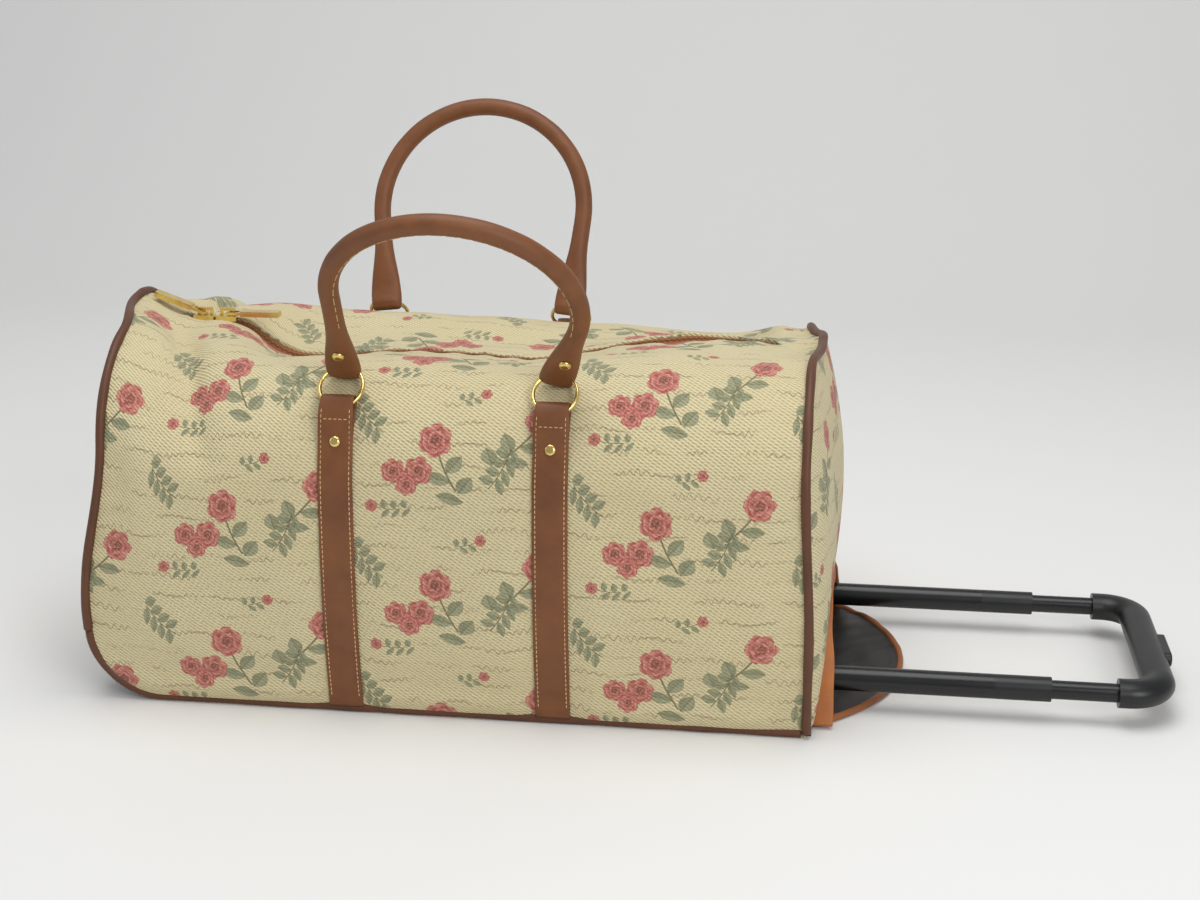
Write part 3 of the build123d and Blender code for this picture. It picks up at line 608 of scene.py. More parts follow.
def raise_bump(tree, shader, height, distance, strength=1.0):
    """Let a height stand out of the surface."""
    node = tree.nodes.new("ShaderNodeBump")
    node.inputs["Distance"].default_value = distance
    node.inputs["Strength"].default_value = strength
    feed(height, node.inputs["Height"])
    tree.links.new(node.outputs[0], shader["Normal"])


tapestry, tree, shader = start_material("tapestry")
lengths = cloth_lengths(tree)
printed = use_group(tree, "cloth_print", Cloth=lengths)["Colour"]
twill = use_group(tree, "twill_weave", Cloth=lengths)
# The twill's grooves are blended toward a dark brown: painted shade of the weave, on top of its bump
twill_groove_shaded = blend_colour(tree, (1.0 - twill["Shade"]) * 0.50, printed, colour(122, 104, 72))
feed(twill_groove_shaded, shader["Base Color"])
feed(twill["Shade"] * 0.12 + 0.80, shader["Roughness"])
shader["Specular IOR Level"].default_value = 0.25
shader["Sheen Weight"].default_value = 0.12
raise_bump(tree, shader, twill["Height"], 0.0008, 0.9)
for cloth in cloths.values():
    wear_material(cloth, tapestry)


# End panels: the same tapestry, cut to the shape of the ends and sewn inside the piping. They belly
# out a little, the one over the wheels above its base seam, the other round the pocket's mouth.
end_seam_height = 0.085
pocket_half_width = 0.125
pocket_height = 0.075
board_level = 0.003


def end_edge(x_at, s_start, count):
    """The sewn edge of an end, from the front base over the top to the back base."""
    run = np.linspace(s_start, cloth_reach, count)
    front = skin(x_at, run)
    back = skin(x_at, run[::-1][1:], back=True) * np.array([1, -1, 1])
    return np.concatenate([front, back])


def arch_points(half_width, low, high, count):
    """Round arch on a level base: across and up."""
    radius = (half_width ** 2 + (high - low) ** 2) / (2 * (high - low))
    reach = asin(half_width / radius) if high - low < radius else pi - asin(half_width / radius)
    angle = np.linspace(-reach, reach, count)
    return radius * np.sin(angle), high - radius + radius * np.cos(angle)


edge_count = 140
seam_s = float(np.interp(end_seam_height, middle_z, along_section))
wheel_edge = end_edge(-seam_x, seam_s, edge_count)
handle_edge = end_edge(seam_x, 0.004, edge_count)
fraction = np.linspace(0, 1, len(wheel_edge))
seam_y = wheel_edge[0, 1] + (wheel_edge[-1, 1] - wheel_edge[0, 1]) * fraction
wheel_inner = np.stack(np.broadcast_arrays(0.0005 - half_length, seam_y, end_seam_height), axis=-1)
arch_y, arch_z = arch_points(pocket_half_width, board_level, pocket_height, len(handle_edge))
mouth_bulge = 0.0095 * (arch_z / pocket_height) ** 1.3
handle_inner = np.stack([half_length - 0.0004 + mouth_bulge, arch_y, arch_z], axis=-1)
panel_rows = np.linspace(0, 1, 60)
ends = [("wheel_end", wheel_edge, wheel_inner, -1, 0.0050),
        ("handle_end", handle_edge, handle_inner, 1, 0.0105)]
for name, edge, inner, outward, belly in ends:
    inward = (np.array([0, 0, 0.12]) - edge) * np.array([0, 0.014, 0.014])
    edge = edge + np.array([outward * 0.0022, 0, 0]) + inward
    share = panel_rows[:, None, None]
    points = inner[None] * (1 - share) + edge[None] * share
    swell = np.sin(pi * panel_rows)[:, None] ** 0.8 * np.sin(pi * fraction)[None, :] ** 0.45
    waves = ripple(points[..., 1], points[..., 2], 31 if outward < 0 else 37, 0.11)
    points[..., 0] += outward * swell * (belly + 0.0018 * waves)
    uv = length_map(points[..., 1] * outward + 0.9 + 0.2 * outward, points[..., 2] + 0.017)
    faces = sheet_faces(*points.shape[:2], flip=outward > 0)
    cloth = new_piece(f"cloth_{name}", points.reshape(-1, 3), faces, uv)
    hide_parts(f"{name}_panel")
    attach(cloth, "bag")
    wide, tall = 2 * half_depth, float(np.ptp(points[..., 2])) + 0.02
    mesh_area(cloth, wide * tall)
    wear_material(cloth, tapestry)


# Base panel: plain dark brown coated cloth under the bag and up behind the wheels. The CAD panel is
# right as it is, flat on its board, and only takes the cloth's weave.
tree, given, result = start_group(
    "plain_weave", [("Place", VECTOR, None), ("Pitch", FLOAT, 0.001)], [("Height", FLOAT), ("Shade", FLOAT)])
threads = [(axis * (2 * pi) / given["Pitch"]).to("SINE") for axis in split_place(tree, given["Place"])]
woven = threads[0] * threads[1] + threads[1] * threads[2] + threads[0] * threads[2]
feed(woven * 0.3 + 0.5, result["Height"])
feed((noise(tree, given["Place"], 28.0, 4.0) * 0.8 + 0.1).held(), result["Shade"])


def object_place(tree):
    """Where a point lies on the piece itself."""
    return Number(tree.nodes.new("ShaderNodeTexCoord").outputs["Object"])


def woven_material(name, dark, light, pitch, roughness):
    """Plain woven cloth in one colour, a little uneven, with painted shade between its threads."""
    material, tree, shader = start_material(name)
    weave = use_group(tree, "plain_weave", Place=object_place(tree), Pitch=pitch)
    # Half of this share is the weave's height: the hollows between threads are painted dark and the thread
    # tops pale, as painted shade in the weave. The other half is uneven tone.
    shade = weave["Height"] * 0.5 + weave["Shade"] * 0.5
    feed(blend_colour(tree, shade, dark, light), shader["Base Color"])
    feed(weave["Shade"] * 0.12 + roughness, shader["Roughness"])
    raise_bump(tree, shader, weave["Height"], 0.0003, 0.5)
    return material


base_cloth = woven_material("base_cloth", colour(52, 34, 22), colour(80, 54, 36), 0.0011, 0.72)
wear_material(cad["base_panel"], base_cloth)


# Piping: a cord covered in dark brown leather, sewn into the seams round both ends and along the
# base. It stands up stiffly at the ends and is a little uneven where the leather gathers.
piping_radius = 0.0033


def unit(steps):
    """The same directions, each of length one."""
    return steps / np.linalg.norm(steps, axis=-1, keepdims=True)


def run_length(path):
    """Length along a path, at each of its points."""
    return np.concatenate([[0], np.cumsum(np.linalg.norm(np.diff(path, axis=0), axis=1))])


def cord_frames(path):
    """Directions along, across and out of a path, without twist."""
    along = np.gradient(path, axis=0)
    along = unit(along)
    across = np.empty_like(path)
    guess = np.array([1.0, 0, 0]) if abs(along[0, 0]) < 0.8 else np.array([0, 1.0, 0])
    for i, direction in enumerate(along):
        guess = guess - direction * np.dot(guess, direction)
        guess = guess / np.linalg.norm(guess)
        across[i] = guess
    return along, across, np.cross(along, across)


def even_path(path, step):
    """A path with its points the same distance apart."""
    length = run_length(path)
    at = np.linspace(0, length[-1], max(3, int(length[-1] / step)))
    return np.stack([np.interp(at, length, path[:, i]) for i in range(3)], axis=-1), at


def round_cord(name, path, radius, sides=14, waver=0.0, step=0.003):
    """A round cord along a path, closed at both ends, with its length and girth as its map."""
    path, at = even_path(np.asarray(path, float), step)
    along, across, out = cord_frames(path)
    angle = np.linspace(0, 2 * pi, sides, endpoint=False)
    thick = radius * (1 + waver * np.sin(at / 0.0107 + 2.2 * np.sin(at / 0.037))[:, None])
    ring = across[:, None] * np.cos(angle)[None, :, None] + out[:, None] * np.sin(angle)[None, :, None]
    points = (path[:, None] + ring * thick[..., None]).reshape(-1, 3)
    faces = sheet_faces(len(path), sides, closed=True)
    ends = [len(points), len(points) + 1]
    tips = [path[0] - along[0] * radius * 0.5, path[-1] + along[-1] * radius * 0.5]
    points = np.concatenate([points, tips])
    last = (len(path) - 1) * sides
    faces += [(ends[0], j, (j + 1) % sides) for j in range(sides)]
    faces += [(ends[1], last + (j + 1) % sides, last + j) for j in range(sides)]
    uv = np.concatenate([length_map(at[:, None], angle[None] * radius), [[0, 0], [at[-1], 0]]])
    return new_piece(name, points, faces, uv)


tree, given, result = start_group(
    "leather_grain", [("Place", VECTOR, None), ("Colour", COLOUR, None), ("Scale", FLOAT, 1.0)],
    [("Colour", COLOUR), ("Roughness", FLOAT), ("Height", FLOAT)])
widen = tree.nodes.new("ShaderNodeVectorMath")
widen.operation = "SCALE"
feed(given["Place"], widen.inputs[0])
feed(given["Scale"], widen.inputs["Scale"])
sized = Number(widen.outputs[0])
pores = tree.nodes.new("ShaderNodeTexVoronoi")
pores.inputs["Scale"].default_value = 900.0
feed(sized, pores.inputs["Vector"])
creases = noise(tree, sized, 260.0, 4.0)
patches = noise(tree, sized, 24.0, 3.0)
rubbed = noise(tree, sized, 70.0, 5.0)
tone = patches * 0.7 + rubbed * 0.5
dark = blend_colour(tree, 1.0, given["Colour"], (0.70, 0.64, 0.60, 1.0), "MULTIPLY")
light = blend_colour(tree, 1.0, given["Colour"], (1.24, 1.25, 1.28, 1.0), "MULTIPLY")
feed(blend_colour(tree, ((tone - 0.32) * 1.7).held(), dark, light), result["Colour"])
feed(rubbed * 0.30 + 0.36, result["Roughness"])
feed(Number(pores.outputs["Distance"]) * 0.5 + creases * 0.6, result["Height"])


def leather_material(name, tint, scale=1.0, bump=0.00025):
    """Smooth dyed leather with fine pores and rubbed patches."""
    material, tree, shader = start_material(name)
    grain = use_group(tree, "leather_grain", Place=object_place(tree), Colour=tint, Scale=scale)
    feed(grain["Colour"], shader["Base Color"])
    feed(grain["Roughness"], shader["Roughness"])
    shader["Specular IOR Level"].default_value = 0.45
    raise_bump(tree, shader, grain["Height"], bump, 0.6)
    return material


piping_leather = leather_material("piping_leather", colour(96, 58, 34))
base_seam_height = 0.0034
low_x = corner_radius * (1 - np.cos(corner_angles)) - half_length + base_seam_height * np.cos(corner_angles)
low_z = corner_radius * (1 - np.sin(corner_angles)) + base_seam_height * np.sin(corner_angles)
joint_s = float(np.interp(corner_radius, middle_z, along_section))
edges = {"handle_end": end_edge(seam_x, 0.0048, 160), "wheel_end": end_edge(-seam_x, joint_s, 160)}
for name, edge in edges.items():
    middle = np.array([0, 0, 0.12])
    away = (edge - middle) * np.array([0, 1, 1])
    away = unit(away)
    cord = round_cord(f"piping_{name}", edge + away * 0.0010, piping_radius, waver=0.05)
    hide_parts(f"{name}_piping")
    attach(cord, "bag")
    wear_material(cord, piping_leather)
run_x = np.concatenate([low_x, np.linspace(corner_radius - half_length, seam_x - 0.004, 80)[1:]])
run_z = np.concatenate([low_z, np.full(79, base_seam_height)])
run_y = np.interp(run_z, middle_z[:200], middle_y[:200]) - 0.0008
for name, side in (("front", -1), ("back", 1)):
    path = np.stack([run_x, side * run_y, run_z], axis=-1)
    cord = round_cord(f"piping_base_{name}", path, piping_radius * 0.97, waver=0.05)
    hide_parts(f"base_piping_{name}")
    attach(cord, "bag")
    wear_material(cord, piping_leather)


# Zip: a brown woven tape with a moulded coil down its middle, sewn between the two cloths. It dips
# with the cloth and runs up to the stiff end over the wheels.
zip_reach = 0.226
tape_half_width = 0.008
slider_way = 0.2577


def copies(name, shape, faces, places):
    """Many copies of one small shape; each place is a point with its three directions."""
    points = np.concatenate([p + shape @ np.stack([a, b, c]) for p, a, b, c in places])
    count = len(shape)
    every = [tuple(i + k * count for i in face) for k in range(len(places)) for face in faces]
    return new_piece(name, points, every)


def bead(long, wide, high, rings=4, sides=6):
    """A small rounded bead: its points and faces."""
    up = np.linspace(0, pi, rings + 2)[1:-1]
    angle = np.linspace(0, 2 * pi, sides, endpoint=False)
    points = [(-long / 2, 0, 0)]
    for t in up:
        girth = sin(t) ** 0.6
        points += [(-long / 2 * cos(t), wide / 2 * girth * cos(a), high / 2 * girth * sin(a)) for a in angle]
    points += [(long / 2, 0, 0)]
    faces = [(0, 1 + (j + 1) % sides, 1 + j) for j in range(sides)]
    for first in range(1, 1 + (rings - 1) * sides, sides):
        for j in range(sides):
            k = (j + 1) % sides
            faces.append((first + j, first + k, first + sides + k, first + sides + j))
    end, last = len(points) - 1, 1 + (rings - 1) * sides
    faces += [(end, last + j, last + (j + 1) % sides) for j in range(sides)]
    return np.array(points), faces


def zip_bed(x):
    """Height of the tape: with the cloth, but never above the way of the sliders."""
    return np.minimum(zip_height(x), slider_way)


run = np.linspace(-zip_reach, zip_reach, 180)
level = zip_bed(run) - 0.0014
across = np.linspace(-1, 1, 9)
tape_level = level[:, None] - 0.0012 * across[None] ** 4 + across[None] * zip_tilt(run)[:, None]
tape_points = np.stack(np.broadcast_arrays(run[:, None], across[None] * tape_half_width, tape_level), axis=-1)
tape_faces = sheet_faces(len(run), len(across))
tape = new_piece("zip_band", tape_points.reshape(-1, 3), tape_faces, tape_points[..., :2].reshape(-1, 2))
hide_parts("zip_tape")
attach(tape, "bag")
wear_material(tape, woven_material("zip_cloth", colour(118, 70, 36), colour(160, 104, 58), 0.0012, 0.7))

tooth_pitch = 0.0021
tooth, tooth_faces = bead(0.0016, 0.0034, 0.0018)
places = []
for i in range(int(2 * zip_reach / tooth_pitch)):
    x = -zip_reach + (i + 0.5) * tooth_pitch
    slope = float(zip_bed(x + 0.001) - zip_bed(x - 0.001)) / 0.002
    along = np.array([1, 0, slope]) / hypot(1, slope)
    out = np.array([-slope, 0, 1]) / hypot(1, slope)
    middle = np.array([x, 0.0008 * (-1) ** i, float(zip_bed(x)) - 0.0008])
    places.append((middle, along, np.array([0, 1.0, 0]), out))
teeth = copies("zip_coil", tooth, tooth_faces, places)
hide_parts("zip_teeth")
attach(teeth, "bag")


def moulded_material(name, dark, light, roughness, bump):
    """Moulded plastic with a fine grain."""
    material, tree, shader = start_material(name)
    where = object_place(tree)
    grain = noise(tree, where, 700.0, 3.0)
    rubbed = noise(tree, where, 30.0, 4.0)
    feed(blend_colour(tree, rubbed, dark, light), shader["Base Color"])
    feed(rubbed * 0.16 + roughness, shader["Roughness"])
    raise_bump(tree, shader, grain, bump, 0.35)
    return material


wear_material(teeth, moulded_material("zip_teeth", colour(126, 78, 42), colour(158, 106, 62), 0.34, 0.0001))


# Sliders and pulls: cast brass, bright yellow and polished, with small scratches. The rings and the
# rivets are of the same metal.
def metal_material(name, tint, shade, roughness):
    """Polished metal, a little darker and duller in patches."""
    material, tree, shader = start_material(name)
    where = object_place(tree)
    dull = noise(tree, where, 120.0, 4.0)
    scratch = noise(tree, where, 900.0, 2.0, (1.0, 0.12, 1.0))
    feed(blend_colour(tree, ((dull - 0.35) * 1.6).held(), tint, shade), shader["Base Color"])
    feed(dull * 0.18 + roughness, shader["Roughness"])
    shader["Metallic"].default_value = 1.0
    raise_bump(tree, shader, scratch, 0.00004, 0.25)
    return material


brass = metal_material("brass", colour(240, 216, 140), colour(210, 176, 98), 0.14)
for name in ("slider_left", "slider_right", "pull_left", "pull_right", "strap_rivets",
             "handle_rivets_front", "handle_rivets_back",
             "ring_front_left", "ring_front_right", "ring_back_left", "ring_back_right"):
    wear_material(cad[name], brass)


# Straps: four strips of tan bridle leather, sewn up the cloth along both edges in cream thread. Each
# folds over at the top round a brass ring and comes down behind itself, held by a cross row and a rivet.
strap_loop_height = middle_crest - 0.032
loop_centre_off = 0.0065
loop_middle_radius = 0.0054
strap_foot = 0.006
strap_thickness = 0.0022
strap_lift_length = 0.045
shoulder_tilt = asin((middle_crest - shoulder_drop - widest_height) / side_radius)
shoulder_middle = np.array([half_depth - side_radius + (side_radius - shoulder_radius) * cos(shoulder_tilt),
                            widest_height + (side_radius - shoulder_radius) * sin(shoulder_tilt)])
loop_angle = asin((strap_loop_height - shoulder_middle[1]) / shoulder_radius)
loop_out = np.array([cos(loop_angle), sin(loop_angle)])
loop_middle = shoulder_middle + (shoulder_radius + loop_centre_off) * loop_out
loop_s = float(np.interp(strap_loop_height, middle_z, along_section))


def section_at(s):
    """Out and up of a place on the plain cross-section."""
    return np.stack([np.interp(s, along_section, middle_y), np.interp(s, along_section, middle_z)], axis=-1)


def on_cloth(s, off):
    """Out and up of a place at this distance off the front cloth, away from its ends."""
    place = section_at(s)
    step = section_at(s + 0.001) - place
    step = unit(step)
    return place + np.stack([step[..., 1], -step[..., 0]], axis=-1) * np.asarray(off)[..., None]


rise_s = np.linspace(strap_foot, loop_s, 130)
lift = smooth((rise_s - loop_s + strap_lift_length) / strap_lift_length) ** 1.8
rise = on_cloth(rise_s, 0.0016 + (loop_centre_off + loop_middle_radius - 0.0016) * lift)
round_angle = loop_angle + np.linspace(0, pi, 26)[1:]
round_ring = loop_middle + loop_middle_radius * np.stack([np.cos(round_angle), np.sin(round_angle)], axis=-1)
behind_s = np.linspace(loop_s - 0.002, loop_s - 0.034, 20)
behind = on_cloth(behind_s, np.full(20, loop_centre_off - loop_middle_radius))
strap_line = np.concatenate([rise, round_ring, behind])
strap_at = run_length(strap_line)
strap_step = np.gradient(strap_line, strap_at, axis=0)
strap_step = unit(strap_step)
strap_out = np.stack([strap_step[:, 1], -strap_step[:, 0]], axis=-1)
rise_length = strap_at[len(rise) - 1]
strap_wide = strap_width - 0.0014 * smooth((strap_at - rise_length + 0.012) / 0.012)
strap_thick = strap_thickness - 0.0004 * smooth((strap_at - rise_length + 0.010) / 0.010)
band_u = np.sin(np.linspace(-pi / 2, pi / 2, 15))
band_top = 0.5 * (1 - 0.62 * np.abs(band_u) ** 10 - 0.10 * np.exp(-((np.abs(band_u) - 0.82) / 0.05) ** 2))
band_u = np.concatenate([band_u, band_u[::-1]])
band_v = np.concatenate([band_top, -0.5 * (1 - 0.62 * np.abs(band_u[:15]) ** 10)])


def band_piece(name, x, side):
    """One strap of leather at this place along the bag, on the front or the back."""
    wave = 0.00025 * np.sin(strap_at / 0.019 + 40 * x)
    points = np.empty((len(strap_line), len(band_u), 3))
    points[..., 0] = x + band_u[None] * strap_wide[:, None] / 2
    off = band_v[None] * strap_thick[:, None] + wave[:, None]
    points[..., 1] = side * (strap_line[:, None, 0] + strap_out[:, None, 0] * off)
    points[..., 2] = strap_line[:, None, 1] + strap_out[:, None, 1] * off
    rows, columns = points.shape[:2]
    faces = sheet_faces(rows, columns, closed=True, flip=side > 0) + end_caps(rows, columns, flip=side > 0)
    uv = length_map(strap_at[:, None], band_u[None] * strap_width / 2)
    return new_piece(name, points.reshape(-1, 3), faces, uv)


def on_strap(x, side, at, across, off):
    """A place on the outer face of a strap, with its directions along, across and out."""
    middle = np.array([np.interp(at, strap_at, strap_line[:, i]) for i in range(2)])
    step = np.array([np.interp(at, strap_at, strap_step[:, i]) for i in range(2)])
    out = np.array([step[1], -step[0]])
    face = middle + out * (off + strap_thickness / 2)
    along = np.array([0, side * step[0], step[1]])
    outward = np.array([0, side * out[0], out[1]])
    return np.array([x + across, side * face[0], face[1]]), along, np.array([1.0, 0, 0]), outward


strap_leather = leather_material("leather", colour(122, 74, 38))
stitch_pitch = 0.0036
stitch_inset = 0.0023
stitch, stitch_faces = bead(0.0027, 0.00085, 0.0007)
places = []
for name, side, strap_x in (("front", -1, strap_front_x), ("back", 1, strap_back_x)):
    for end_name, x in zip(("left", "right"), strap_x):
        strap = band_piece(f"strap_band_{name}_{end_name}", x, side)
        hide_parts(f"strap_{name}_{end_name}")
        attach(strap, "bag")
        wear_material(strap, strap_leather)
        for at in np.arange(0.010, rise_length - 0.006, stitch_pitch):
            wide = float(np.interp(at, strap_at, strap_wide))
            places += [on_strap(x, side, at, edge * (wide / 2 - stitch_inset), -0.00015) for edge in (-1, 1)]
        for across in np.arange(-2, 3) * stitch_pitch:
            at, along, sideways, out = on_strap(x, side, rise_length - 0.014, across, 0.00005)
            places.append((at, sideways, along, out))
stitches = copies("strap_stitches", stitch, stitch_faces, places)
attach(stitches, "bag")
thread = woven_material("thread", colour(204, 164, 112), colour(228, 194, 146), 0.0006, 0.6)
wear_material(stitches, thread)


# Carrying handles: leather rolled round a cord and sewn shut along the inner side. Each end is left
# flat and wide, folded round its ring and riveted. The front one has fallen forward, the back one stands.
ring_span = 0.0256
half_span = 0.076
handle_rise = 0.080
arch_radius = 0.084
hinge_out = loop_middle[0] - ring_span * sin(loop_angle)
hinge_up = loop_middle[1] + ring_span * cos(loop_angle)
seam_angle = 0.9
seam_start = 0.058
tab_end = 0.0066
# Flat ends of the handles: distance from the ring, half width and half thickness
tab_form = [
    (-tab_end, 0.0098, 0.0006), (-0.0060, 0.0112, 0.0026), (-0.0045, 0.0120, 0.0046), (0.0, 0.0124, 0.0060),
    (0.006, 0.0125, 0.0050), (0.012, 0.0121, 0.0046), (0.020, 0.0112, 0.0051), (0.028, 0.0100, 0.0060),
    (0.036, 0.0087, 0.0066), (0.044, 0.0077, 0.0069), (0.053, 0.0071, 0.0070), (0.066, 0.0069, 0.0069),
]
tab_at, tab_half_wide, tab_half_thick = np.transpose(tab_form)


def handle_line(sway):
    """Middle line of a handle in its own plane, its distance from the nearer ring and its length."""
    legs = {}
    for side in (-1, 1):
        reach = sway - side * half_span
        heading = atan2(handle_rise, reach) - side * asin(arch_radius / hypot(reach, handle_rise))
        length = (reach ** 2 + handle_rise ** 2 - arch_radius ** 2) ** 0.5
        out = np.concatenate([np.linspace(-tab_end, 0.0, 8), np.linspace(0.002, length, 34)])
        leg = np.array([[side * half_span, 0]]) + out[:, None] * np.array([[cos(heading), sin(heading)]])
        legs[side] = heading, leg
    left_heading, left = legs[-1]
    right_heading, right = legs[1]
    turn = np.linspace(left_heading + pi / 2, right_heading - pi / 2, 110)[1:-1]
    arch = np.array([[sway, handle_rise]]) + arch_radius * np.stack([np.cos(turn), np.sin(turn)], axis=-1)
    line = np.concatenate([left, arch, right[::-1]])
    at = run_length(line) - tab_end
    return line, np.minimum(at, at[-1] - tab_end - at), at


handle_leather = leather_material("handle_leather", colour(122, 74, 38), bump=0.0004)
angle = np.linspace(0, 2 * pi, 28, endpoint=False)
handles = [("front", -1, sum(strap_front_x) / 2, radians(41), 0.016),
           ("back", 1, sum(strap_back_x) / 2, radians(20), 0.0)]
for name, side, middle_x, lean, sway in handles:
    line, near, at = handle_line(sway)
    up = np.array([0, side * sin(lean), cos(lean)])
    out = np.array([0, side * cos(lean), -sin(lean)])
    ahead = np.array([1.0, 0, 0])
    origin = np.array([middle_x, side * hinge_out, hinge_up])
    middle = origin + line[:, :1] * ahead + line[:, 1:] * up
    step = np.gradient(line, axis=0)
    step = unit(step)
    beside = step[:, 1:] * ahead - step[:, :1] * up
    square = 0.82 + 0.18 * smooth((near - 0.020) / 0.030)
    gather = 0.010 * np.sin(at / 0.0061 + 2.0 * np.sin(at / 0.021)) * smooth((near - 0.05) / 0.03)
    crease = 1 + gather[:, None] * (0.5 - 0.5 * np.cos(angle))[None]
    half_wide = np.interp(near, tab_at, tab_half_wide)[:, None]
    half_thick = np.interp(near, tab_at, tab_half_thick)[:, None]
    wide = half_wide * np.sign(np.cos(angle)) * np.abs(np.cos(angle))[None] ** square[:, None]
    thick = half_thick * np.sign(np.sin(angle)) * np.abs(np.sin(angle))[None] ** square[:, None]
    points = middle[:, None] + beside[:, None] * (wide * crease)[..., None]
    points = points + out * (thick * crease)[..., None]
    rows, columns = points.shape[:2]
    faces = sheet_faces(rows, columns, closed=True, flip=side < 0) + end_caps(rows, columns, flip=side < 0)
    uv = length_map(at[:, None], angle[None] * 0.008)
    handle = new_piece(f"handle_roll_{name}", points.reshape(-1, 3), faces, uv)
    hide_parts(f"handle_{name}", f"handle_core_{name}")
    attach(handle, f"{name}_handle")
    wear_material(handle, handle_leather)
    arch_middle = origin + handle_rise * up + sway * ahead
    places = []
    for seam_at in np.arange(seam_start, at[-1] - tab_end - seam_start, stitch_pitch):
        i = int(np.searchsorted(at, seam_at))
        along = step[i, 0] * ahead + step[i, 1] * up
        inward = -beside[i] if np.dot(middle[i] - arch_middle, beside[i]) > 0 else beside[i]
        depth = float(half_wide[i, 0])
        spot = middle[i] + inward * (depth - 0.0001) * cos(seam_angle) + out * depth * sin(seam_angle)
        places.append((spot, along, np.cross(inward, along), inward))
    seam = copies(f"handle_stitches_{name}", stitch, stitch_faces, places)
    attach(seam, f"{name}_handle")
    wear_material(seam, thread)


# Pocket for the grip: a collar of orange-brown leather stands round the D-shaped mouth. Its flap is
# unzipped and lies on the floor, black lining up, with a brown bound edge.
collar_depth = 0.0145
collar_thickness = 0.0025
flap_reach = 0.064
flap_half = pocket_half_width - collar_thickness - 0.001
collar_steps = 150
arch_y, arch_z = arch_points(pocket_half_width, board_level, pocket_height, collar_steps)
arch_step = np.stack([np.gradient(arch_y), np.gradient(arch_z)], axis=-1)
arch_step = unit(arch_step)
arch_in = np.stack([arch_step[:, 1], -arch_step[:, 0]], axis=-1)
rim_angle = np.linspace(0, pi, 9)
lip_in = collar_thickness / 2 * (1 - np.cos(rim_angle))
profile_in = np.concatenate([[0, 0, 0], lip_in, [collar_thickness] * 3])
wall_x = [-0.003, 0.002, 0.008]
lip_x = collar_depth - collar_thickness / 2 + collar_thickness / 2 * np.sin(rim_angle)
profile_x = np.concatenate([wall_x, lip_x, wall_x[::-1]])
lean_out = 0.0008 * np.sin(np.linspace(0, 5 * pi, collar_steps))
lean_out = lean_out + 0.0003 * np.sin(np.linspace(0, 13 * pi, collar_steps) + 1)
points = np.empty((collar_steps, len(profile_in), 3))
reach_share = 1 - 0.22 * (arch_z / pocket_height) ** 2
points[..., 0] = half_length + profile_x[None] * reach_share[:, None]
points[..., 0] += lean_out[:, None] * np.maximum(profile_x, 0)[None] / collar_depth
points[..., 1] = arch_y[:, None] + arch_in[:, :1] * (profile_in[None] - 0.0004)
points[..., 2] = arch_z[:, None] + arch_in[:, 1:] * (profile_in[None] - 0.0004)
rows, columns = points.shape[:2]
faces = sheet_faces(rows, columns, closed=True) + end_caps(rows, columns)
collar = new_piece("collar_rim", points.reshape(-1, 3), faces)
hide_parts("pocket_collar")
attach(collar, "bag")
collar_leather = leather_material("collar_leather", colour(178, 108, 52))
wear_material(collar, collar_leather)

black_lining = woven_material("black_lining", colour(20, 19, 18), colour(44, 42, 39), 0.0007, 0.27)
wear_material(cad["pocket_lining"], black_lining)
flap_radius = (flap_half ** 2 + flap_reach ** 2) / (2 * flap_reach)
flap_turn = asin(flap_half / flap_radius) if flap_reach < flap_radius else pi - asin(flap_half / flap_radius)
turn = np.linspace(-flap_turn, flap_turn, 140)
rim_x = half_length + flap_reach - flap_radius + flap_radius * np.cos(turn)
rim_y = flap_radius * np.sin(turn)
share = np.linspace(0, 1, 26)[None]
flap_x = half_length + (rim_x[:, None] - half_length) * share
flap_y = np.broadcast_to(rim_y[:, None], flap_x.shape)
flap_wave = (0.55 + 0.45 * np.sin(turn * 3.1 + 0.6))[:, None]
flap_slack = 0.0014 * ripple(flap_x, flap_y, 51, 0.05) + 0.0013 * ripple(flap_x, flap_y, 53, 0.022)
flap_rise = np.maximum(0.0026 + 0.0030 * smooth(share * 1.2) * flap_wave + flap_slack, 0.0008)
flap_points = np.stack([flap_x, flap_y, flap_rise], axis=-1)
flap = new_piece("flap_cloth", flap_points.reshape(-1, 3), sheet_faces(*flap_x.shape, flip=True))
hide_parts("pocket_flap")
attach(flap, "bag")
wear_material(flap, black_lining)
rim_path = np.stack([rim_x, rim_y, np.maximum(flap_rise[:, -1] - 0.0006, 0.0029)], axis=-1)
binding = round_cord("flap_edge", rim_path, 0.0026, sides=12, waver=0.06)
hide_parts("flap_binding")
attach(binding, "bag")
wear_material(binding, leather_material("binding_leather", colour(150, 92, 50)))


# Pull handle: satin black painted tubes in three stages, a moulded grip with its release button, and
# a plate that closes the pocket behind the grip. The CAD pieces are right and take their finishes.
painted = moulded_material("black_tube", colour(9, 9, 10), colour(17, 17, 18), 0.20, 0.00003)
moulded = moulded_material("black_plastic", colour(12, 12, 13), colour(22, 23, 23), 0.30, 0.00010)
for side in ("front", "back"):
    for name in ("outer_tube", "middle_tube", "inner_tube"):
        wear_material(cad[f"{name}_{side}"], painted)
    for name in ("middle_bush", "middle_glide", "inner_glide", "wheel_housing", "wheel_hub"):
        wear_material(cad[f"{name}_{side}"], moulded)
for name in ("tube_bracket", "mouth_plate", "grip", "release_button"):
    wear_material(cad[name], moulded)
board = moulded_material("board", colour(96, 78, 58), colour(122, 102, 78), 0.7, 0.0003)
wear_material(cad["base_board"], board)


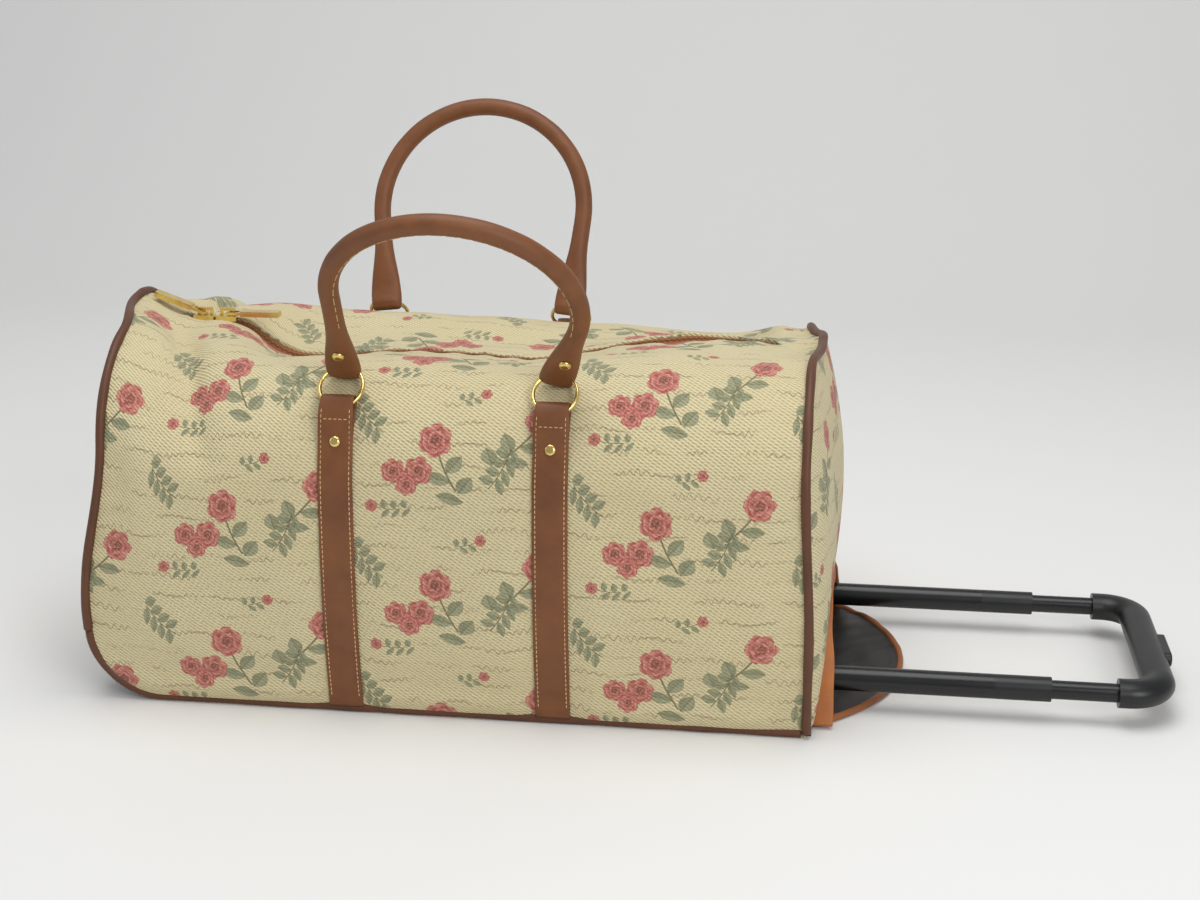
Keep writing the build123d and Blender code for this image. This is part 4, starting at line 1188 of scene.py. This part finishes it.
# Wheels: two soft black tyres on moulded hubs, each on a steel axle in its own housing, let into the
# lower corner of the end away from the pull handle. The CAD pieces are right and take their finishes.
steel = metal_material("steel", colour(196, 198, 202), colour(150, 152, 156), 0.22)
tyre = moulded_material("tyre", colour(18, 18, 18), colour(40, 39, 38), 0.62, 0.0003)
for side in ("front", "back"):
    wear_material(cad[f"axle_{side}"], steel)
    wear_material(cad[f"wheel_tyre_{side}"], tyre)


# Stage: a pale floor that runs up into a backdrop, soft light from above and from the front right, and
# the camera at the angle of the photo.
floor_half = 3.0
bend_start = 1.2
bend_radius = 1.0
backdrop_top = 4.0
quarter = np.linspace(0, pi / 2, 24)
sweep = np.stack([bend_start + bend_radius * np.sin(quarter), bend_radius * (1 - np.cos(quarter))], axis=-1)
bend = np.concatenate([[[-floor_half, 0.0], [bend_start, 0.0]], sweep[1:],
                       [[bend_start + bend_radius, backdrop_top]]])
floor_x = np.array([-floor_half, floor_half])[None]
floor_points = np.stack(np.broadcast_arrays(floor_x, bend[:, :1], bend[:, 1:]), axis=-1)
floor = new_piece("floor", floor_points.reshape(-1, 3), sheet_faces(len(bend), 2, flip=True))
material, tree, shader = start_material("floor")
shader["Base Color"].default_value = colour(236, 235, 232)
shader["Roughness"].default_value = 0.75
wear_material(floor, material)

for name, place, aim, size, power in (
        ("light_top", (0.1, -0.2, 2.2), (0, 0, 0.1), 1.6, 27.0),
        ("light_front", (1.5, -1.9, 1.3), (0, 0, 0.15), 1.1, 21.0),
        ("light_left", (-2.0, -0.6, 1.2), (0, 0, 0.15), 1.2, 4.0)):
    lamp = bpy.data.lights.new(name, "AREA")
    lamp.shape, lamp.size, lamp.energy = "SQUARE", size, power
    holder = bpy.data.objects.new(name, lamp)
    holder.location = place
    holder.rotation_euler = (Vector(aim) - Vector(place)).to_track_quat("-Z", "Y").to_euler()
    bpy.context.scene.collection.objects.link(holder)
world = bpy.data.worlds.new("room")
bpy.context.scene.world = world
world.use_nodes = True
world.node_tree.nodes["Background"].inputs["Color"].default_value = (0.92, 0.95, 1.0, 1.0)
world.node_tree.nodes["Background"].inputs["Strength"].default_value = 0.40

view = bpy.data.cameras.new("photo_camera")
view.lens, view.sensor_width, view.sensor_fit = 55.98, 36.0, "HORIZONTAL"
camera = bpy.data.objects.new("photo_camera", view)
camera.location = (0.2845, -1.3543, 0.5697)
camera.rotation_euler = (radians(90 - 16.52), 0, radians(7.96))
bpy.context.scene.collection.objects.link(camera)
bpy.context.scene.camera = camera
bpy.context.scene.view_settings.view_transform = "Standard"
